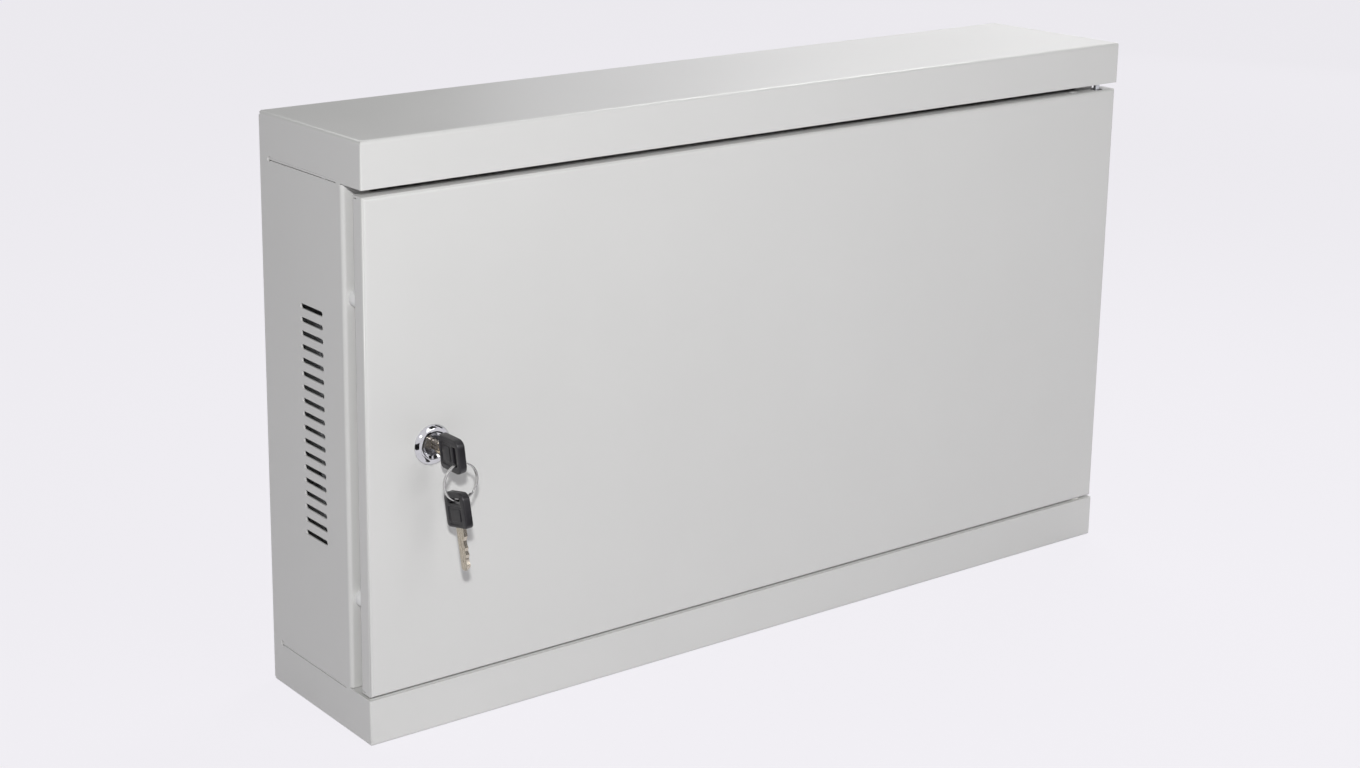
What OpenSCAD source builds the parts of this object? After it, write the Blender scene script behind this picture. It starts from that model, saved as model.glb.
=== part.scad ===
// Slim wall cabinet for 19 inch network equipment, with a lift-off door and a cam lock.
// Millimetres. X runs to the right, the front faces -Y, Z is up.
// The origin is the centre of the face that the cabinet stands on.

/* [Cabinet] */
// Overall width
cabinet_w = 600; // [560:5:760]
// Overall height
cabinet_h = 355; // [330:5:450]
// Overall depth, from the hood's front to the back panel
cabinet_d = 114; // [108:1:150]
// Thickness of the folded steel sheet
sheet_t = 1.2; // [1:0.1:1.4]
// Outside radius of every fold
fold_r = 2.4; // [2:0.2:3]
// Radius of the ground seam on the front corners of hood and plinth
seam_r = 1.2; // [0.4:0.1:1.2]

/* [Hood and plinth] */
// Height of the hood's front
hood_h = 27.2; // [20:0.2:36]
// Height of the plinth's front
plinth_h = 28.6; // [20:0.2:36]
// Height of the flange that each deck turns against the front
deck_lip_h = 13; // [8:1:16]
// Distance from the front to the tabs of the decks
tab_front = 27; // [22:1:34]
// Length of the tabs
tab_len = 76; // [40:1:78]
// Height of the slots that take the tabs
tab_slot_h = 1.7; // [1.5:0.1:2.4]
// Radius of the relief hole at the rear end of each tab slot
relief_r = 1.6; // [1.2:0.1:2]

/* [Side panels] */
// Distance from the front to the side panels' front flanges
front_setback = 20.5; // [20:0.5:24]
// Width of the front flanges
front_flange_w = 18; // [16:1:26]
// Height of the notch above and below each front flange
notch_h = 0.4; // [0.3:0.1:3]
// Number of ventilation slots in each side
vent_count = 18; // [8:1:20]
// Distance from slot to slot
vent_pitch = 8.1; // [6:0.1:9]
// Length of each slot
vent_len = 25; // [16:1:34]
// Height of each slot
vent_h = 3; // [2.5:0.1:4]
// Distance from the front to the slots
vent_front = 45; // [42:1:56]
// Height of the lowest slot above the base
vent_z = 110.5; // [90:0.5:130]

/* [Back panel] */
// Diameter of the four wall fixing holes
wall_hole_d = 10.5; // [8:0.5:13]
// Distance between the wall fixing holes across the width
wall_hole_w = 520; // [500:10:536]
// Distance between the wall fixing holes up the height
wall_hole_h = 255; // [220:5:260]
// Width of each rear cable window
window_w = 180; // [120:10:220]
// Height of each rear cable window
window_h = 40; // [30:2:44]
// Distance from the base and from the top to each window's centre
window_inset = 84; // [82:1:88]

/* [Cable entries] */
// Diameter of the hole through each grommet
grommet_bore_d = 32; // [24:1:36]
// Thickness of the rubber around that hole
grommet_wall = 3; // [2.5:0.5:4]
// Width of the rubber lips that hold the deck
grommet_lip = 3; // [2:0.5:4]
// Thickness of each rubber lip
grommet_lip_t = 2; // [1.5:0.5:3]
// Distance from the cabinet's middle to each entry
entry_x = 140; // [100:5:180]
// Distance from the front to the middle of the entries
entry_front = 70; // [60:1:78]
// Length of the cut-out under each entry
base_slot_w = 90; // [70:5:110]
// Width of the cut-out under each entry
base_slot_d = 50; // [46:1:56]

/* [Rack brackets] */
// Height of the equipment space in rack units
rack_units = 3; // [2:1:3]
// Distance between the two rows of mounting holes
rack_hole_w = 465.1; // [464.6:0.1:465.6]
// Clear width between the brackets
rack_clear_w = 450; // [446:1:452]
// Side of each square mounting hole
square_hole = 9.5; // [9:0.1:10]
// Thickness of the bracket steel
bracket_t = 1.5; // [1.2:0.1:2]
// Height of the brackets
bracket_h = 140; // [138:1:150]
// Height of the brackets' lower ends above the base
bracket_z = 100; // [90:1:110]
// Distance from the front to the mounting face
bracket_front = 67; // [60:1:74]
// Distance from the cabinet's side to the bracket's web
bracket_side = 11; // [9:1:16]
// Width of the bracket's rear flange
bracket_rear_w = 30; // [26:1:40]
// Width of the cable window in the bracket's face
bracket_window_w = 26; // [16:1:28]
// Height of the cable window in the bracket's face
bracket_window_h = 104; // [60:2:110]
// Distance from the bracket's ends to its studs
stud_inset = 20; // [14:1:30]
// Nominal diameter of the studs
stud_d = 6; // [5:1:6]
// Length of the bracket studs
stud_len = 14; // [12:1:18]
// Radial clearance of nuts and brackets on their studs
stud_clear = 0.08; // [0.04:0.01:0.1]

/* [Earthing] */
// Height of the earth studs above the base
earth_z = 62; // [50:1:80]
// Distance from the cabinet's side to the earth studs
earth_side = 65; // [60:1:80]
// Length of the earth studs
earth_stud_len = 12; // [10:1:14]

/* [Door] */
// Gap between the hood and the door, which lets the door lift off
door_gap_top = 4.3; // [3.6:0.1:6]
// Gap between the plinth and the door
door_gap_bottom = 1.3; // [1:0.1:2]
// Distance from the cabinet's side to the door's edge
door_gap_side = 1; // [0.5:0.1:2]
// Depth of the door's folded edge
door_edge_d = 12; // [11:0.5:12.5]
// Width of the inner lips on the door's long edges
door_lip_w = 11; // [9:0.5:14]
// Height of the open ends of the door's corner joints
corner_gap = 0.5; // [0.3:0.1:1]
// Length of those open ends
corner_gap_len = 5; // [3:0.5:6]
// Diameter of the hole for hanging the door while it is painted
hang_hole_d = 6.5; // [5:0.5:8]
// Distance from the hinge pin to that hole
hang_hole_x = 23; // [16:1:40]

/* [Hinge] */
// Distance from the door's edge to the hinge pins
hinge_inset = 12.5; // [11:0.5:12.5]
// Distance from the front to the hinge pins
hinge_depth = 6; // [5.8:0.1:6.2]
// Diameter of the hinge pins
hinge_pin_d = 4; // [3:0.5:4]
// Radial clearance of the pins in their bushes
hinge_clear = 0.06; // [0.03:0.01:0.1]
// Outside diameter of the bushes
bush_d = 8; // [7:0.5:8]
// Length of the bushes
bush_len = 12; // [9:1:16]
// Diameter of the collar inside each bush's end
bush_collar_d = 9.2; // [9:0.1:9.4]
// How far the upper pin reaches into the door
upper_reach = 9; // [7:0.5:10]
// How far the lower pin reaches into the door
lower_reach = 2.5; // [2:0.1:3]
// Diameter of the pins' heads
pin_head_d = 8; // [6:0.5:9]
// Thickness of the pins' heads
pin_head_t = 1.6; // [1:0.1:2]

/* [Door buffers] */
// Diameter of the buffers
buffer_d = 10; // [8:0.5:11]
// Distance from the cabinet's side to the buffers
buffer_side = 8; // [7:0.5:9]
// Distance from the door's ends to the buffers
buffer_end = 57.7; // [40:0.1:80]
// How far the pair of buffers lies below the middle of the door
buffer_drop = 3.6; // [0:0.1:6]
// Diameter of the buffers' stems
buffer_stem_d = 4; // [3:0.5:5]
// Gap between the closed door and the buffers
buffer_gap = 0.3; // [0.2:0.05:0.4]

/* [Lock] */
// Distance from the cabinet's side to the lock
lock_inset = 44; // [42:1:60]
// How far the lock lies below the middle of the door
lock_drop = 1.6; // [0:0.1:6]
// Diameter of the lock's bezel at the door
bezel_d = 24; // [22.5:0.5:28]
// Diameter of the bezel's face
bezel_face_d = 17; // [15.5:0.5:19]
// How far the bezel stands out of the door
bezel_h = 2.8; // [2:0.1:4]
// Depth of the dish in the bezel's face
dish_depth = 1.2; // [0.8:0.1:1.6]
// Diameter of the lock's threaded body
barrel_d = 19; // [18:0.5:20]
// Width across the flats of the threaded body
barrel_flats = 16; // [15:0.5:17]
// Diameter of the lock's plug
plug_d = 12; // [11:0.5:12.5]
// Radial clearance of the plug in its body
plug_clear = 0.06; // [0.03:0.01:0.1]
// Side of the plug's square tail
tail_w = 7; // [6:0.5:7.5]
// Thickness of the cam
cam_t = 2; // [1.5:0.1:2.5]
// Width of the cam
cam_w = 15; // [13:0.5:17]
// How far the turned cam reaches behind the front flange
cam_bite = 8; // [5:0.5:10]
// Gap between the cam and the back of the front flange
cam_gap = 0.5; // [0.3:0.1:0.8]

/* [Keys] */
// Length of the key blades
blade_len = 25; // [22:0.5:26]
// Height of the key blades
blade_h = 7.6; // [6.5:0.1:8]
// Thickness of the key blades
blade_t = 2.2; // [1.8:0.1:2.5]
// Gap between the blade and the keyway on each side
keyway_gap = 0.2; // [0.1:0.05:0.3]
// Distance from the front to the head of the key in the lock
key_stand = 11; // [10:0.5:12]
// Length of the key heads
head_len = 20.5; // [19:0.5:23]
// Width of the key heads
head_w = 20.5; // [19:0.5:23]
// Thickness of the key heads
head_t = 5; // [4.5:0.1:6]
// How far the middle of the head is above the middle of the blade
head_rise = 0.4; // [0:0.1:1.5]
// Length of the ring slot in each head
eye_len = 11.6; // [10:0.2:13]
// Width of the ring slot in each head
eye_w = 3.1; // [3:0.1:3.4]
// Distance from the head's end to the ring slot
eye_edge = 3.4; // [2.8:0.1:4]
// Outside diameter of the split ring
ring_d = 23; // [22:0.5:25]
// Diameter of the split ring's wire
ring_wire_d = 1.1; // [1:0.05:1.2]
// Gap from the middle of the ring's wire to the ring slot's edge
ring_seat = 1.28; // [1.25:0.01:1.32]
// Angle that the key in the lock is turned from upright
key_turn = 6.5; // [0:0.5:10]
// Angle at which the spare key hangs away from the door
spare_tilt = 12; // [0:1:14]
// Angle at which the spare key hangs sideways
spare_lean = 1; // [0:0.5:3]
// Distance from the middle of the ring slot to the wire that holds the spare key
spare_shift = 4; // [0:0.5:4]

/* [Hidden] */

paint = [0.80, 0.80, 0.79];
zinc = [0.68, 0.69, 0.70];
black = [0.12, 0.12, 0.13];

$fn = 48;
eps = 0.01;
over = 50;

// Planes of the cabinet
half_w = cabinet_w / 2;
front_y = -cabinet_d / 2;
back_y = cabinet_d / 2;
inner_back_y = back_y - sheet_t;
hood_z = cabinet_h - hood_h;
flange_y = front_y + front_setback;
fold_in_r = fold_r - sheet_t;

// Planes of the door
door_w = cabinet_w - 2 * door_gap_side;
door_z0 = plinth_h + door_gap_bottom;
door_z1 = hood_z - door_gap_top;
door_mid_z = (door_z0 + door_z1) / 2;
door_back_y = front_y + door_edge_d;
hinge_x = door_w / 2 - hinge_inset;
hinge_y = front_y + hinge_depth;

// Tab slots: the tab lies near the top of its slot
tab_gap = 0.2;
tab_top_gap = 0.05;
tab_drop = tab_slot_h - sheet_t - tab_top_gap;

// Gap between the end of a deck's lip and the hinge pin's head
lip_relief = 3;

// Grommets
grommet_hole_d = grommet_bore_d + 2 * grommet_wall;
entry_y = front_y + entry_front;
base_corner_r = 6;

// Brackets
rack_unit = 44.45;
rack_first = 6.35;
rack_step = 15.875;
bracket_web_x = half_w - bracket_side;
bracket_y = front_y + bracket_front;
bracket_fold_r = bracket_t + 1;
bracket_face_w = bracket_web_x - rack_clear_w / 2;
rack_z = bracket_z + (bracket_h - rack_units * rack_unit) / 2;
bracket_stud_x = bracket_web_x - bracket_rear_w / 2 - bracket_t / 2;
window_margin = (rack_hole_w - rack_clear_w) / 2 + square_hole;
bracket_window_x = (rack_clear_w / 2 + window_margin + bracket_web_x - bracket_fold_r) / 2;
web_hole_w = 9.5;
web_hole_h = 16;
web_hole_z = 37;

// Fasteners
earth_x = half_w - earth_side;
stud_nut_af = stud_d * 10 / 6;
stud_nut_t = 5;
stud_flange_d = stud_nut_af + 3;
stud_flange_t = 1.4;
clinch_d = stud_d + 3;
clinch_t = 1;

// Lock
lock_x = -half_w + lock_inset;
lock_z = door_mid_z - lock_drop;
flange_rear_y = flange_y + sheet_t;
cam_y = flange_rear_y + cam_gap;
barrel_end_y = cam_y - 0.2;
plug_face_y = front_y - bezel_h + dish_depth + 0.3;
plug_r = plug_d / 2 - plug_clear;
keyway_end_y = front_y - key_stand + blade_len + 0.5;
cam_bolt_d = 4;
cam_washer_d = 10;
cam_washer_t = 1;
cam_bolt_af = 7;
cam_bolt_head_t = 2.8;
cam_bolt_bite = cam_y - keyway_end_y - 1;
cam_reach = lock_inset - front_flange_w + cam_bite;
lock_nut_af = barrel_d + 5;
lock_nut_t = 4;

// Keys
tang_len = 7;
key_y = front_y - key_stand;
eye_y = -(head_len - eye_edge - eye_w / 2);
ring_mid_r = ring_d / 2 - ring_wire_d / 2;
ring_drop = eye_len / 2 - head_rise - ring_seat + ring_mid_r;
ring_x = lock_x + ring_drop * sin(key_turn);
ring_y = key_y + eye_y;
ring_z = lock_z - ring_drop * cos(key_turn);
wire_step = ring_wire_d * 0.95;

// ---------------------------------------------------------------- shared shapes

// Rectangle with four round corners, centred
module round_rect(w, d, r) {
    square([w - 2 * r, d], center = true);
    square([w, d - 2 * r], center = true);
    for (sx = [-1, 1], sy = [-1, 1]) {
        translate([sx * (w / 2 - r), sy * (d / 2 - r)])
            circle(r);
    }
}

// Rectangle from y = 0 to y = d whose two corners at y = 0 are round
module soft_front(w, d, r) {
    translate([-w / 2, r])
        square([w, d - r]);
    translate([-w / 2 + r, 0])
        square([w - 2 * r, d]);
    for (sx = [-1, 1]) {
        translate([sx * (w / 2 - r), r])
            circle(r);
    }
}

// Rectangle from the origin whose corner at the origin is round
module one_soft_corner(a, b, r) {
    translate([r, 0])
        square([a - r, b]);
    translate([0, r])
        square([a, b - r]);
    translate([r, r])
        circle(r);
}

// L-shaped sheet section: the outer corner is the origin, the legs run along +X and +Y
module fold_section(a, b, t, r) {
    difference() {
        one_soft_corner(a, b, r);
        translate([t, t])
            one_soft_corner(a + over, b + over, r - t);
    }
}

// Slot with round ends along X, centred
module obround(len, h) {
    square([len - h, h], center = true);
    for (sx = [-1, 1]) {
        translate([sx * (len - h) / 2, 0])
            circle(h / 2);
    }
}

// Cuts a 2D shape through the back panel; 2D Y becomes Z
module cut_along_y(y, depth) {
    translate([0, y + depth, 0])
        rotate([90, 0, 0])
            linear_extrude(depth)
                children();
}

// Both halves of a pair that mirror each other across the cabinet
module both_sides() {
    children();
    mirror([1, 0, 0])
        children();
}

// Hexagonal prism with the given width across its flats
module hexagon(af, h) {
    cylinder(d = af / cos(30), h = h, $fn = 6);
}

// Stud that stands on a wall at y, pointing to -Y
module stud(len) {
    rotate([90, 0, 0])
        cylinder(d = stud_d, h = len);
    rotate([90, 0, 0])
        cylinder(d = clinch_d, h = clinch_t);
}

// Flanged nut whose seat is the origin, pointing to -Y
module flange_nut() {
    rotate([90, 0, 0])
        difference() {
            union() {
                hexagon(stud_nut_af, stud_nut_t);
                cylinder(d = stud_flange_d, h = stud_flange_t);
            }
            translate([0, 0, -1])
                cylinder(r = stud_d / 2 + stud_clear, h = stud_nut_t + 2);
        }
}

// ---------------------------------------------------------------- body sheets

// Solid with a folded front edge and folded side edges, hanging down from z = 0
module cap_block(w, d, h, r, seam) {
    intersection() {
        rotate([-90, 0, 0])
            linear_extrude(d)
                soft_front(w, h, r);
        translate([-w / 2, 0, 0])
            rotate([90, 0, 90])
                linear_extrude(w)
                    mirror([0, 1])
                        one_soft_corner(d, h, r);
        translate([0, 0, -h])
            linear_extrude(h)
                soft_front(w, d, seam);
    }
}

// Flat cover with a front of height h and folded side edges
module cap_sheet(h) {
    difference() {
        cap_block(cabinet_w, cabinet_d, h, fold_r, seam_r);
        translate([0, sheet_t, -sheet_t])
            cap_block(cabinet_w - 2 * sheet_t, cabinet_d, h, fold_in_r, eps);
        both_sides()
            translate([-half_w - 1, sheet_t, -h - 1])
                cube([sheet_t + 1, cabinet_d, h + 1 - fold_r]);
        translate([-half_w, cabinet_d - sheet_t, -h - 1])
            cube([cabinet_w, over, h + 1 - sheet_t]);
    }
}

module top_panel() {
    color(paint)
        translate([0, front_y, cabinet_h])
            cap_sheet(hood_h);
}

module bottom_panel() {
    color(paint)
        difference() {
            translate([0, front_y, 0])
                mirror([0, 0, 1])
                    cap_sheet(plinth_h);
            both_sides()
                translate([entry_x, entry_y, -1])
                    linear_extrude(sheet_t + 2)
                        round_rect(base_slot_w, base_slot_d, base_corner_r);
        }
}

// Slot for a deck's tabs with its relief hole; z is the deck's lower face
module tab_slot(z) {
    slot_mid_z = z - tab_drop + tab_slot_h / 2;
    translate([-half_w - 1, front_y + tab_front, z - tab_drop])
        cube([sheet_t + 2, tab_len, tab_slot_h]);
    translate([-half_w - 1, front_y + tab_front + tab_len, slot_mid_z])
        rotate([0, 90, 0])
            cylinder(r = relief_r, h = sheet_t + 2);
}

module vents() {
    for (i = [0 : vent_count - 1]) {
        translate([-half_w - 1, front_y + vent_front + vent_len / 2, vent_z + i * vent_pitch])
            rotate([90, 0, 90])
                linear_extrude(sheet_t + 2)
                    obround(vent_len, vent_h);
    }
}

module side_sheet() {
    ear_y = front_y + sheet_t;
    ear_len = cabinet_d - sheet_t;
    mid_y = flange_y + fold_r;
    difference() {
        union() {
            // full-depth strips beside the hood and the plinth
            translate([-half_w, ear_y, fold_r])
                cube([sheet_t, ear_len, plinth_h - fold_r]);
            translate([-half_w, ear_y, hood_z])
                cube([sheet_t, ear_len, hood_h - fold_r]);
            // middle part, set back behind the door
            translate([-half_w, mid_y, plinth_h])
                cube([sheet_t, back_y - mid_y, hood_z - plinth_h]);
            translate([-half_w, flange_y, plinth_h + notch_h])
                linear_extrude(hood_z - plinth_h - 2 * notch_h)
                    fold_section(front_flange_w, fold_r + 1, sheet_t, fold_r);
        }
        // corner notches that let the flange fold
        for (z = [plinth_h, hood_z - notch_h]) {
            translate([-half_w - 1, flange_y, z])
                cube([sheet_t + 2, fold_r + notch_h / 2, notch_h]);
        }
        tab_slot(hood_z);
        tab_slot(plinth_h - sheet_t);
        vents();
    }
}

// Places on the front flange beside the lock
module at_buffers() {
    for (z = [door_z0 + buffer_end, door_z1 - buffer_end]) {
        translate([-half_w + buffer_side, flange_y, z - buffer_drop])
            rotate([90, 0, 0])
                children();
    }
}

module left_side_panel() {
    color(paint)
        difference() {
            side_sheet();
            at_buffers()
                translate([0, 0, -sheet_t - 1])
                    cylinder(d = buffer_stem_d, h = sheet_t + 2);
        }
}

module right_side_panel() {
    color(paint)
        mirror([1, 0, 0])
            side_sheet();
}

module back_panel() {
    color(paint)
        difference() {
            translate([-half_w + sheet_t, inner_back_y, sheet_t])
                cube([cabinet_w - 2 * sheet_t, sheet_t, cabinet_h - 2 * sheet_t]);
            for (sx = [-1, 1], sz = [-1, 1]) {
                translate([sx * wall_hole_w / 2, inner_back_y - 1, cabinet_h / 2 + sz * wall_hole_h / 2])
                    rotate([-90, 0, 0])
                        cylinder(d = wall_hole_d, h = sheet_t + 2);
            }
            for (z = [window_inset, cabinet_h - window_inset]) {
                translate([0, 0, z])
                    cut_along_y(inner_back_y - 1, sheet_t + 2)
                        obround(window_w, window_h);
            }
        }
}

// Deck with a lip that rises from its front edge and stops short of the hinge pin's head
module deck_sheet() {
    deck_w = cabinet_w - 2 * sheet_t;
    deck_y = front_y + sheet_t;
    difference() {
        translate([-deck_w / 2, deck_y, 0])
            rotate([90, 0, 90])
                linear_extrude(deck_w)
                    fold_section(inner_back_y - deck_y, deck_lip_h, sheet_t, fold_r);
        translate([hinge_x - pin_head_d / 2 - lip_relief, deck_y - 1, sheet_t])
            cube([over, fold_r + 1, deck_lip_h]);
    }
    both_sides()
        translate([-half_w + tab_gap, front_y + tab_front + tab_gap, 0])
            cube([sheet_t, tab_len - 2 * tab_gap, sheet_t]);
}

module upper_deck() {
    color(paint)
        difference() {
            translate([0, 0, hood_z])
                deck_sheet();
            translate([hinge_x, hinge_y, hood_z - 1])
                cylinder(d = hinge_pin_d, h = sheet_t + 2);
        }
}

module lower_deck() {
    color(paint)
        difference() {
            translate([0, 0, plinth_h])
                mirror([0, 0, 1])
                    deck_sheet();
            translate([hinge_x, hinge_y, plinth_h - sheet_t - 1])
                cylinder(d = hinge_pin_d, h = sheet_t + 2);
            both_sides()
                translate([entry_x, entry_y, plinth_h - sheet_t - 1])
                    cylinder(d = grommet_hole_d, h = sheet_t + 2);
        }
}

module cable_grommets() {
    lip_d = grommet_hole_d + 2 * grommet_lip;
    color(black)
        both_sides()
            translate([entry_x, entry_y, plinth_h - sheet_t])
                difference() {
                    union() {
                        translate([0, 0, -grommet_lip_t])
                            cylinder(d = lip_d, h = grommet_lip_t);
                        cylinder(d = grommet_hole_d, h = sheet_t);
                        translate([0, 0, sheet_t])
                            cylinder(d = lip_d, h = grommet_lip_t);
                    }
                    translate([0, 0, -grommet_lip_t - 1])
                        cylinder(d = grommet_bore_d, h = sheet_t + 2 * grommet_lip_t + 2);
                }
}

// ---------------------------------------------------------------- rack brackets

// C-shaped section of the right bracket, open towards the middle of the cabinet
module bracket_section() {
    rear_y = inner_back_y;
    depth = rear_y - bracket_y;
    translate([bracket_web_x, bracket_y])
        mirror([1, 0])
            fold_section(bracket_face_w, depth / 2 + eps, bracket_t, bracket_fold_r);
    translate([bracket_web_x, rear_y])
        mirror([1, 0])
            mirror([0, 1])
                fold_section(bracket_rear_w, depth / 2, bracket_t, bracket_fold_r);
}

module rack_bracket() {
    difference() {
        translate([0, 0, bracket_z])
            linear_extrude(bracket_h)
                bracket_section();
        // three square holes in every rack unit
        for (u = [0 : rack_units - 1], i = [0 : 2]) {
            translate([rack_hole_w / 2, bracket_y, rack_z + u * rack_unit + rack_first + i * rack_step])
                cube([square_hole, 2 * bracket_t + 2, square_hole], center = true);
        }
        // cable window beside the equipment
        translate([bracket_window_x, 0, bracket_z + bracket_h / 2])
            cut_along_y(bracket_y - 1, bracket_t + 2)
                rotate(90)
                    obround(bracket_window_h, bracket_window_w);
        // slot in the web for a cable tie
        translate([bracket_web_x - bracket_t - 1, bracket_y + bracket_fold_r, bracket_z + web_hole_z - web_hole_h / 2])
            cube([bracket_t + 2, web_hole_w, web_hole_h]);
        for (z = [bracket_z + stud_inset, bracket_z + bracket_h - stud_inset]) {
            translate([bracket_stud_x, inner_back_y + 1, z])
                rotate([90, 0, 0])
                    cylinder(d = clinch_d + 0.4, h = bracket_t + 2);
        }
    }
}

module right_rack_bracket() {
    color(zinc)
        rack_bracket();
}

module left_rack_bracket() {
    color(zinc)
        mirror([1, 0, 0])
            rack_bracket();
}

module bracket_studs() {
    color(zinc)
        both_sides()
            for (z = [bracket_z + stud_inset, bracket_z + bracket_h - stud_inset]) {
                translate([bracket_stud_x, inner_back_y, z])
                    stud(stud_len);
            }
}

module bracket_nuts() {
    color(zinc)
        both_sides()
            for (z = [bracket_z + stud_inset, bracket_z + bracket_h - stud_inset]) {
                translate([bracket_stud_x, inner_back_y - bracket_t, z])
                    flange_nut();
            }
}

module body_earth_stud() {
    color(zinc)
        translate([-earth_x, inner_back_y, earth_z])
            stud(earth_stud_len);
}

module body_earth_nut() {
    color(zinc)
        translate([-earth_x, inner_back_y - clinch_t, earth_z])
            flange_nut();
}

// ---------------------------------------------------------------- buffers and hinge

module door_buffers() {
    head_h = flange_y - door_back_y - buffer_gap;
    dome_r = buffer_d / 2;
    color([0.86, 0.87, 0.88])
        at_buffers()
            union() {
                cylinder(d = buffer_d, h = head_h - dome_r / 2);
                translate([0, 0, head_h - dome_r / 2])
                    cylinder(d1 = buffer_d, d2 = buffer_d * 0.86, h = dome_r / 4);
                translate([0, 0, head_h - dome_r / 4])
                    cylinder(d1 = buffer_d * 0.86, d2 = buffer_d * 0.5, h = dome_r / 4);
                translate([0, 0, -sheet_t - 3])
                    cylinder(d = buffer_stem_d, h = sheet_t + 3 + 1);
                translate([0, 0, -sheet_t - 2])
                    cylinder(d1 = buffer_stem_d, d2 = buffer_stem_d + 1.4, h = 2);
            }
}

module upper_hinge_pin() {
    color(zinc)
        translate([hinge_x, hinge_y, 0])
            union() {
                translate([0, 0, door_z1 - upper_reach])
                    cylinder(d = hinge_pin_d, h = hood_z + sheet_t - door_z1 + upper_reach);
                translate([0, 0, hood_z + sheet_t])
                    cylinder(d = pin_head_d, h = pin_head_t);
            }
}

module lower_hinge_pin() {
    color(zinc)
        translate([hinge_x, hinge_y, 0])
            union() {
                translate([0, 0, plinth_h - sheet_t])
                    cylinder(d = hinge_pin_d, h = sheet_t + door_gap_bottom + lower_reach);
                translate([0, 0, plinth_h - sheet_t - pin_head_t])
                    cylinder(d = pin_head_d, h = pin_head_t);
            }
}

module hinge_washer() {
    color([0.9, 0.9, 0.88])
        translate([hinge_x, hinge_y, plinth_h])
            difference() {
                cylinder(d = bush_collar_d, h = door_gap_bottom);
                translate([0, 0, -1])
                    cylinder(r = hinge_pin_d / 2 + hinge_clear, h = door_gap_bottom + 2);
            }
}

// Bush that stands in the door's edge and rises from z = 0 into the door
module hinge_bush() {
    difference() {
        union() {
            cylinder(d = bush_d, h = bush_len);
            translate([0, 0, sheet_t])
                cylinder(d = bush_collar_d, h = 1);
        }
        translate([0, 0, -1])
            cylinder(r = hinge_pin_d / 2 + hinge_clear, h = bush_len + 2);
    }
}

module upper_hinge_bush() {
    color(black)
        translate([hinge_x, hinge_y, door_z1])
            mirror([0, 0, 1])
                hinge_bush();
}

module lower_hinge_bush() {
    color(black)
        translate([hinge_x, hinge_y, door_z0])
            hinge_bush();
}

// ---------------------------------------------------------------- door

// Door outline from y = 0 backwards; the long edges are round at the front and at the back
module door_block(w, h, d, r) {
    intersection() {
        translate([0, d / 2, -h / 2])
            linear_extrude(h)
                round_rect(w, d, r);
        translate([-w / 2, 0, 0])
            rotate([0, 90, 0])
                linear_extrude(w)
                    soft_front(h, d, r);
    }
}

module door_panel() {
    inner_w = door_w - 2 * sheet_t;
    inner_h = door_z1 - door_z0 - 2 * sheet_t;
    inner_d = door_edge_d - 2 * sheet_t;
    open_w = door_w - 2 * door_lip_w;
    color(paint)
        difference() {
            translate([0, front_y, door_mid_z])
                door_block(door_w, door_z1 - door_z0, door_edge_d, fold_r);
            translate([0, front_y + sheet_t, door_mid_z])
                door_block(inner_w, inner_h, inner_d, fold_in_r);
            translate([-open_w / 2, front_y + sheet_t + fold_r, door_mid_z - inner_h / 2])
                cube([open_w, door_edge_d, inner_h]);
            // lock hole with two flats
            translate([lock_x, 0, lock_z])
                cut_along_y(front_y - 1, sheet_t + 2)
                    barrel_section();
            for (z = [door_z0, door_z1]) {
                translate([hinge_x, hinge_y, z - sheet_t - 1])
                    cylinder(d = bush_d, h = 2 * sheet_t + 2);
            }
            translate([hinge_x - hang_hole_x, hinge_y, door_z1 - sheet_t - 1])
                cylinder(d = hang_hole_d, h = sheet_t + 2);
            // open ends of the corner joints, behind the weld
            for (sx = [-1, 1], sz = [-1, 1]) {
                translate([sx * door_w / 2, door_back_y, door_mid_z + sz * (inner_h - corner_gap) / 2])
                    cube([2 * sheet_t, 2 * corner_gap_len, corner_gap], center = true);
            }
        }
}

module door_earth_stud() {
    color(zinc)
        translate([earth_x, front_y + sheet_t, door_z0 + earth_z - plinth_h])
            mirror([0, 1, 0])
                stud(earth_stud_len);
}

module door_earth_nut() {
    color(zinc)
        translate([earth_x, front_y + sheet_t + clinch_t, door_z0 + earth_z - plinth_h])
            mirror([0, 1, 0])
                flange_nut();
}

// ---------------------------------------------------------------- lock

// Round section with flats on its left and right
module barrel_section() {
    intersection() {
        circle(d = barrel_d);
        square([barrel_flats, barrel_d], center = true);
    }
}

// Puts a shape drawn along +Z at the lock, pointing into the cabinet from y
module at_lock(y) {
    translate([lock_x, y, lock_z])
        rotate([-90, 0, 0])
            children();
}

// Turns what is drawn upright at the lock as the key is turned
module with_key() {
    translate([lock_x, 0, lock_z])
        rotate([0, -key_turn, 0])
            translate([-lock_x, 0, -lock_z])
                children();
}

module lock_housing() {
    barrel_len = barrel_end_y - front_y;
    color([0.75, 0.76, 0.78])
        difference() {
            union() {
                at_lock(front_y - bezel_h)
                    cylinder(d1 = bezel_face_d, d2 = bezel_d, h = bezel_h);
                at_lock(front_y)
                    linear_extrude(barrel_len)
                        barrel_section();
            }
            at_lock(front_y - bezel_h - 1)
                cylinder(d = plug_d, h = barrel_len + bezel_h + 2);
            at_lock(front_y - bezel_h - eps)
                cylinder(d1 = bezel_face_d - 1.4, d2 = plug_d, h = dish_depth);
        }
}

module lock_nut() {
    color(zinc)
        at_lock(front_y + sheet_t)
            difference() {
                hexagon(lock_nut_af, lock_nut_t);
                translate([0, 0, -1])
                    cylinder(r = barrel_d / 2 + stud_clear, h = lock_nut_t + 2);
            }
}

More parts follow.
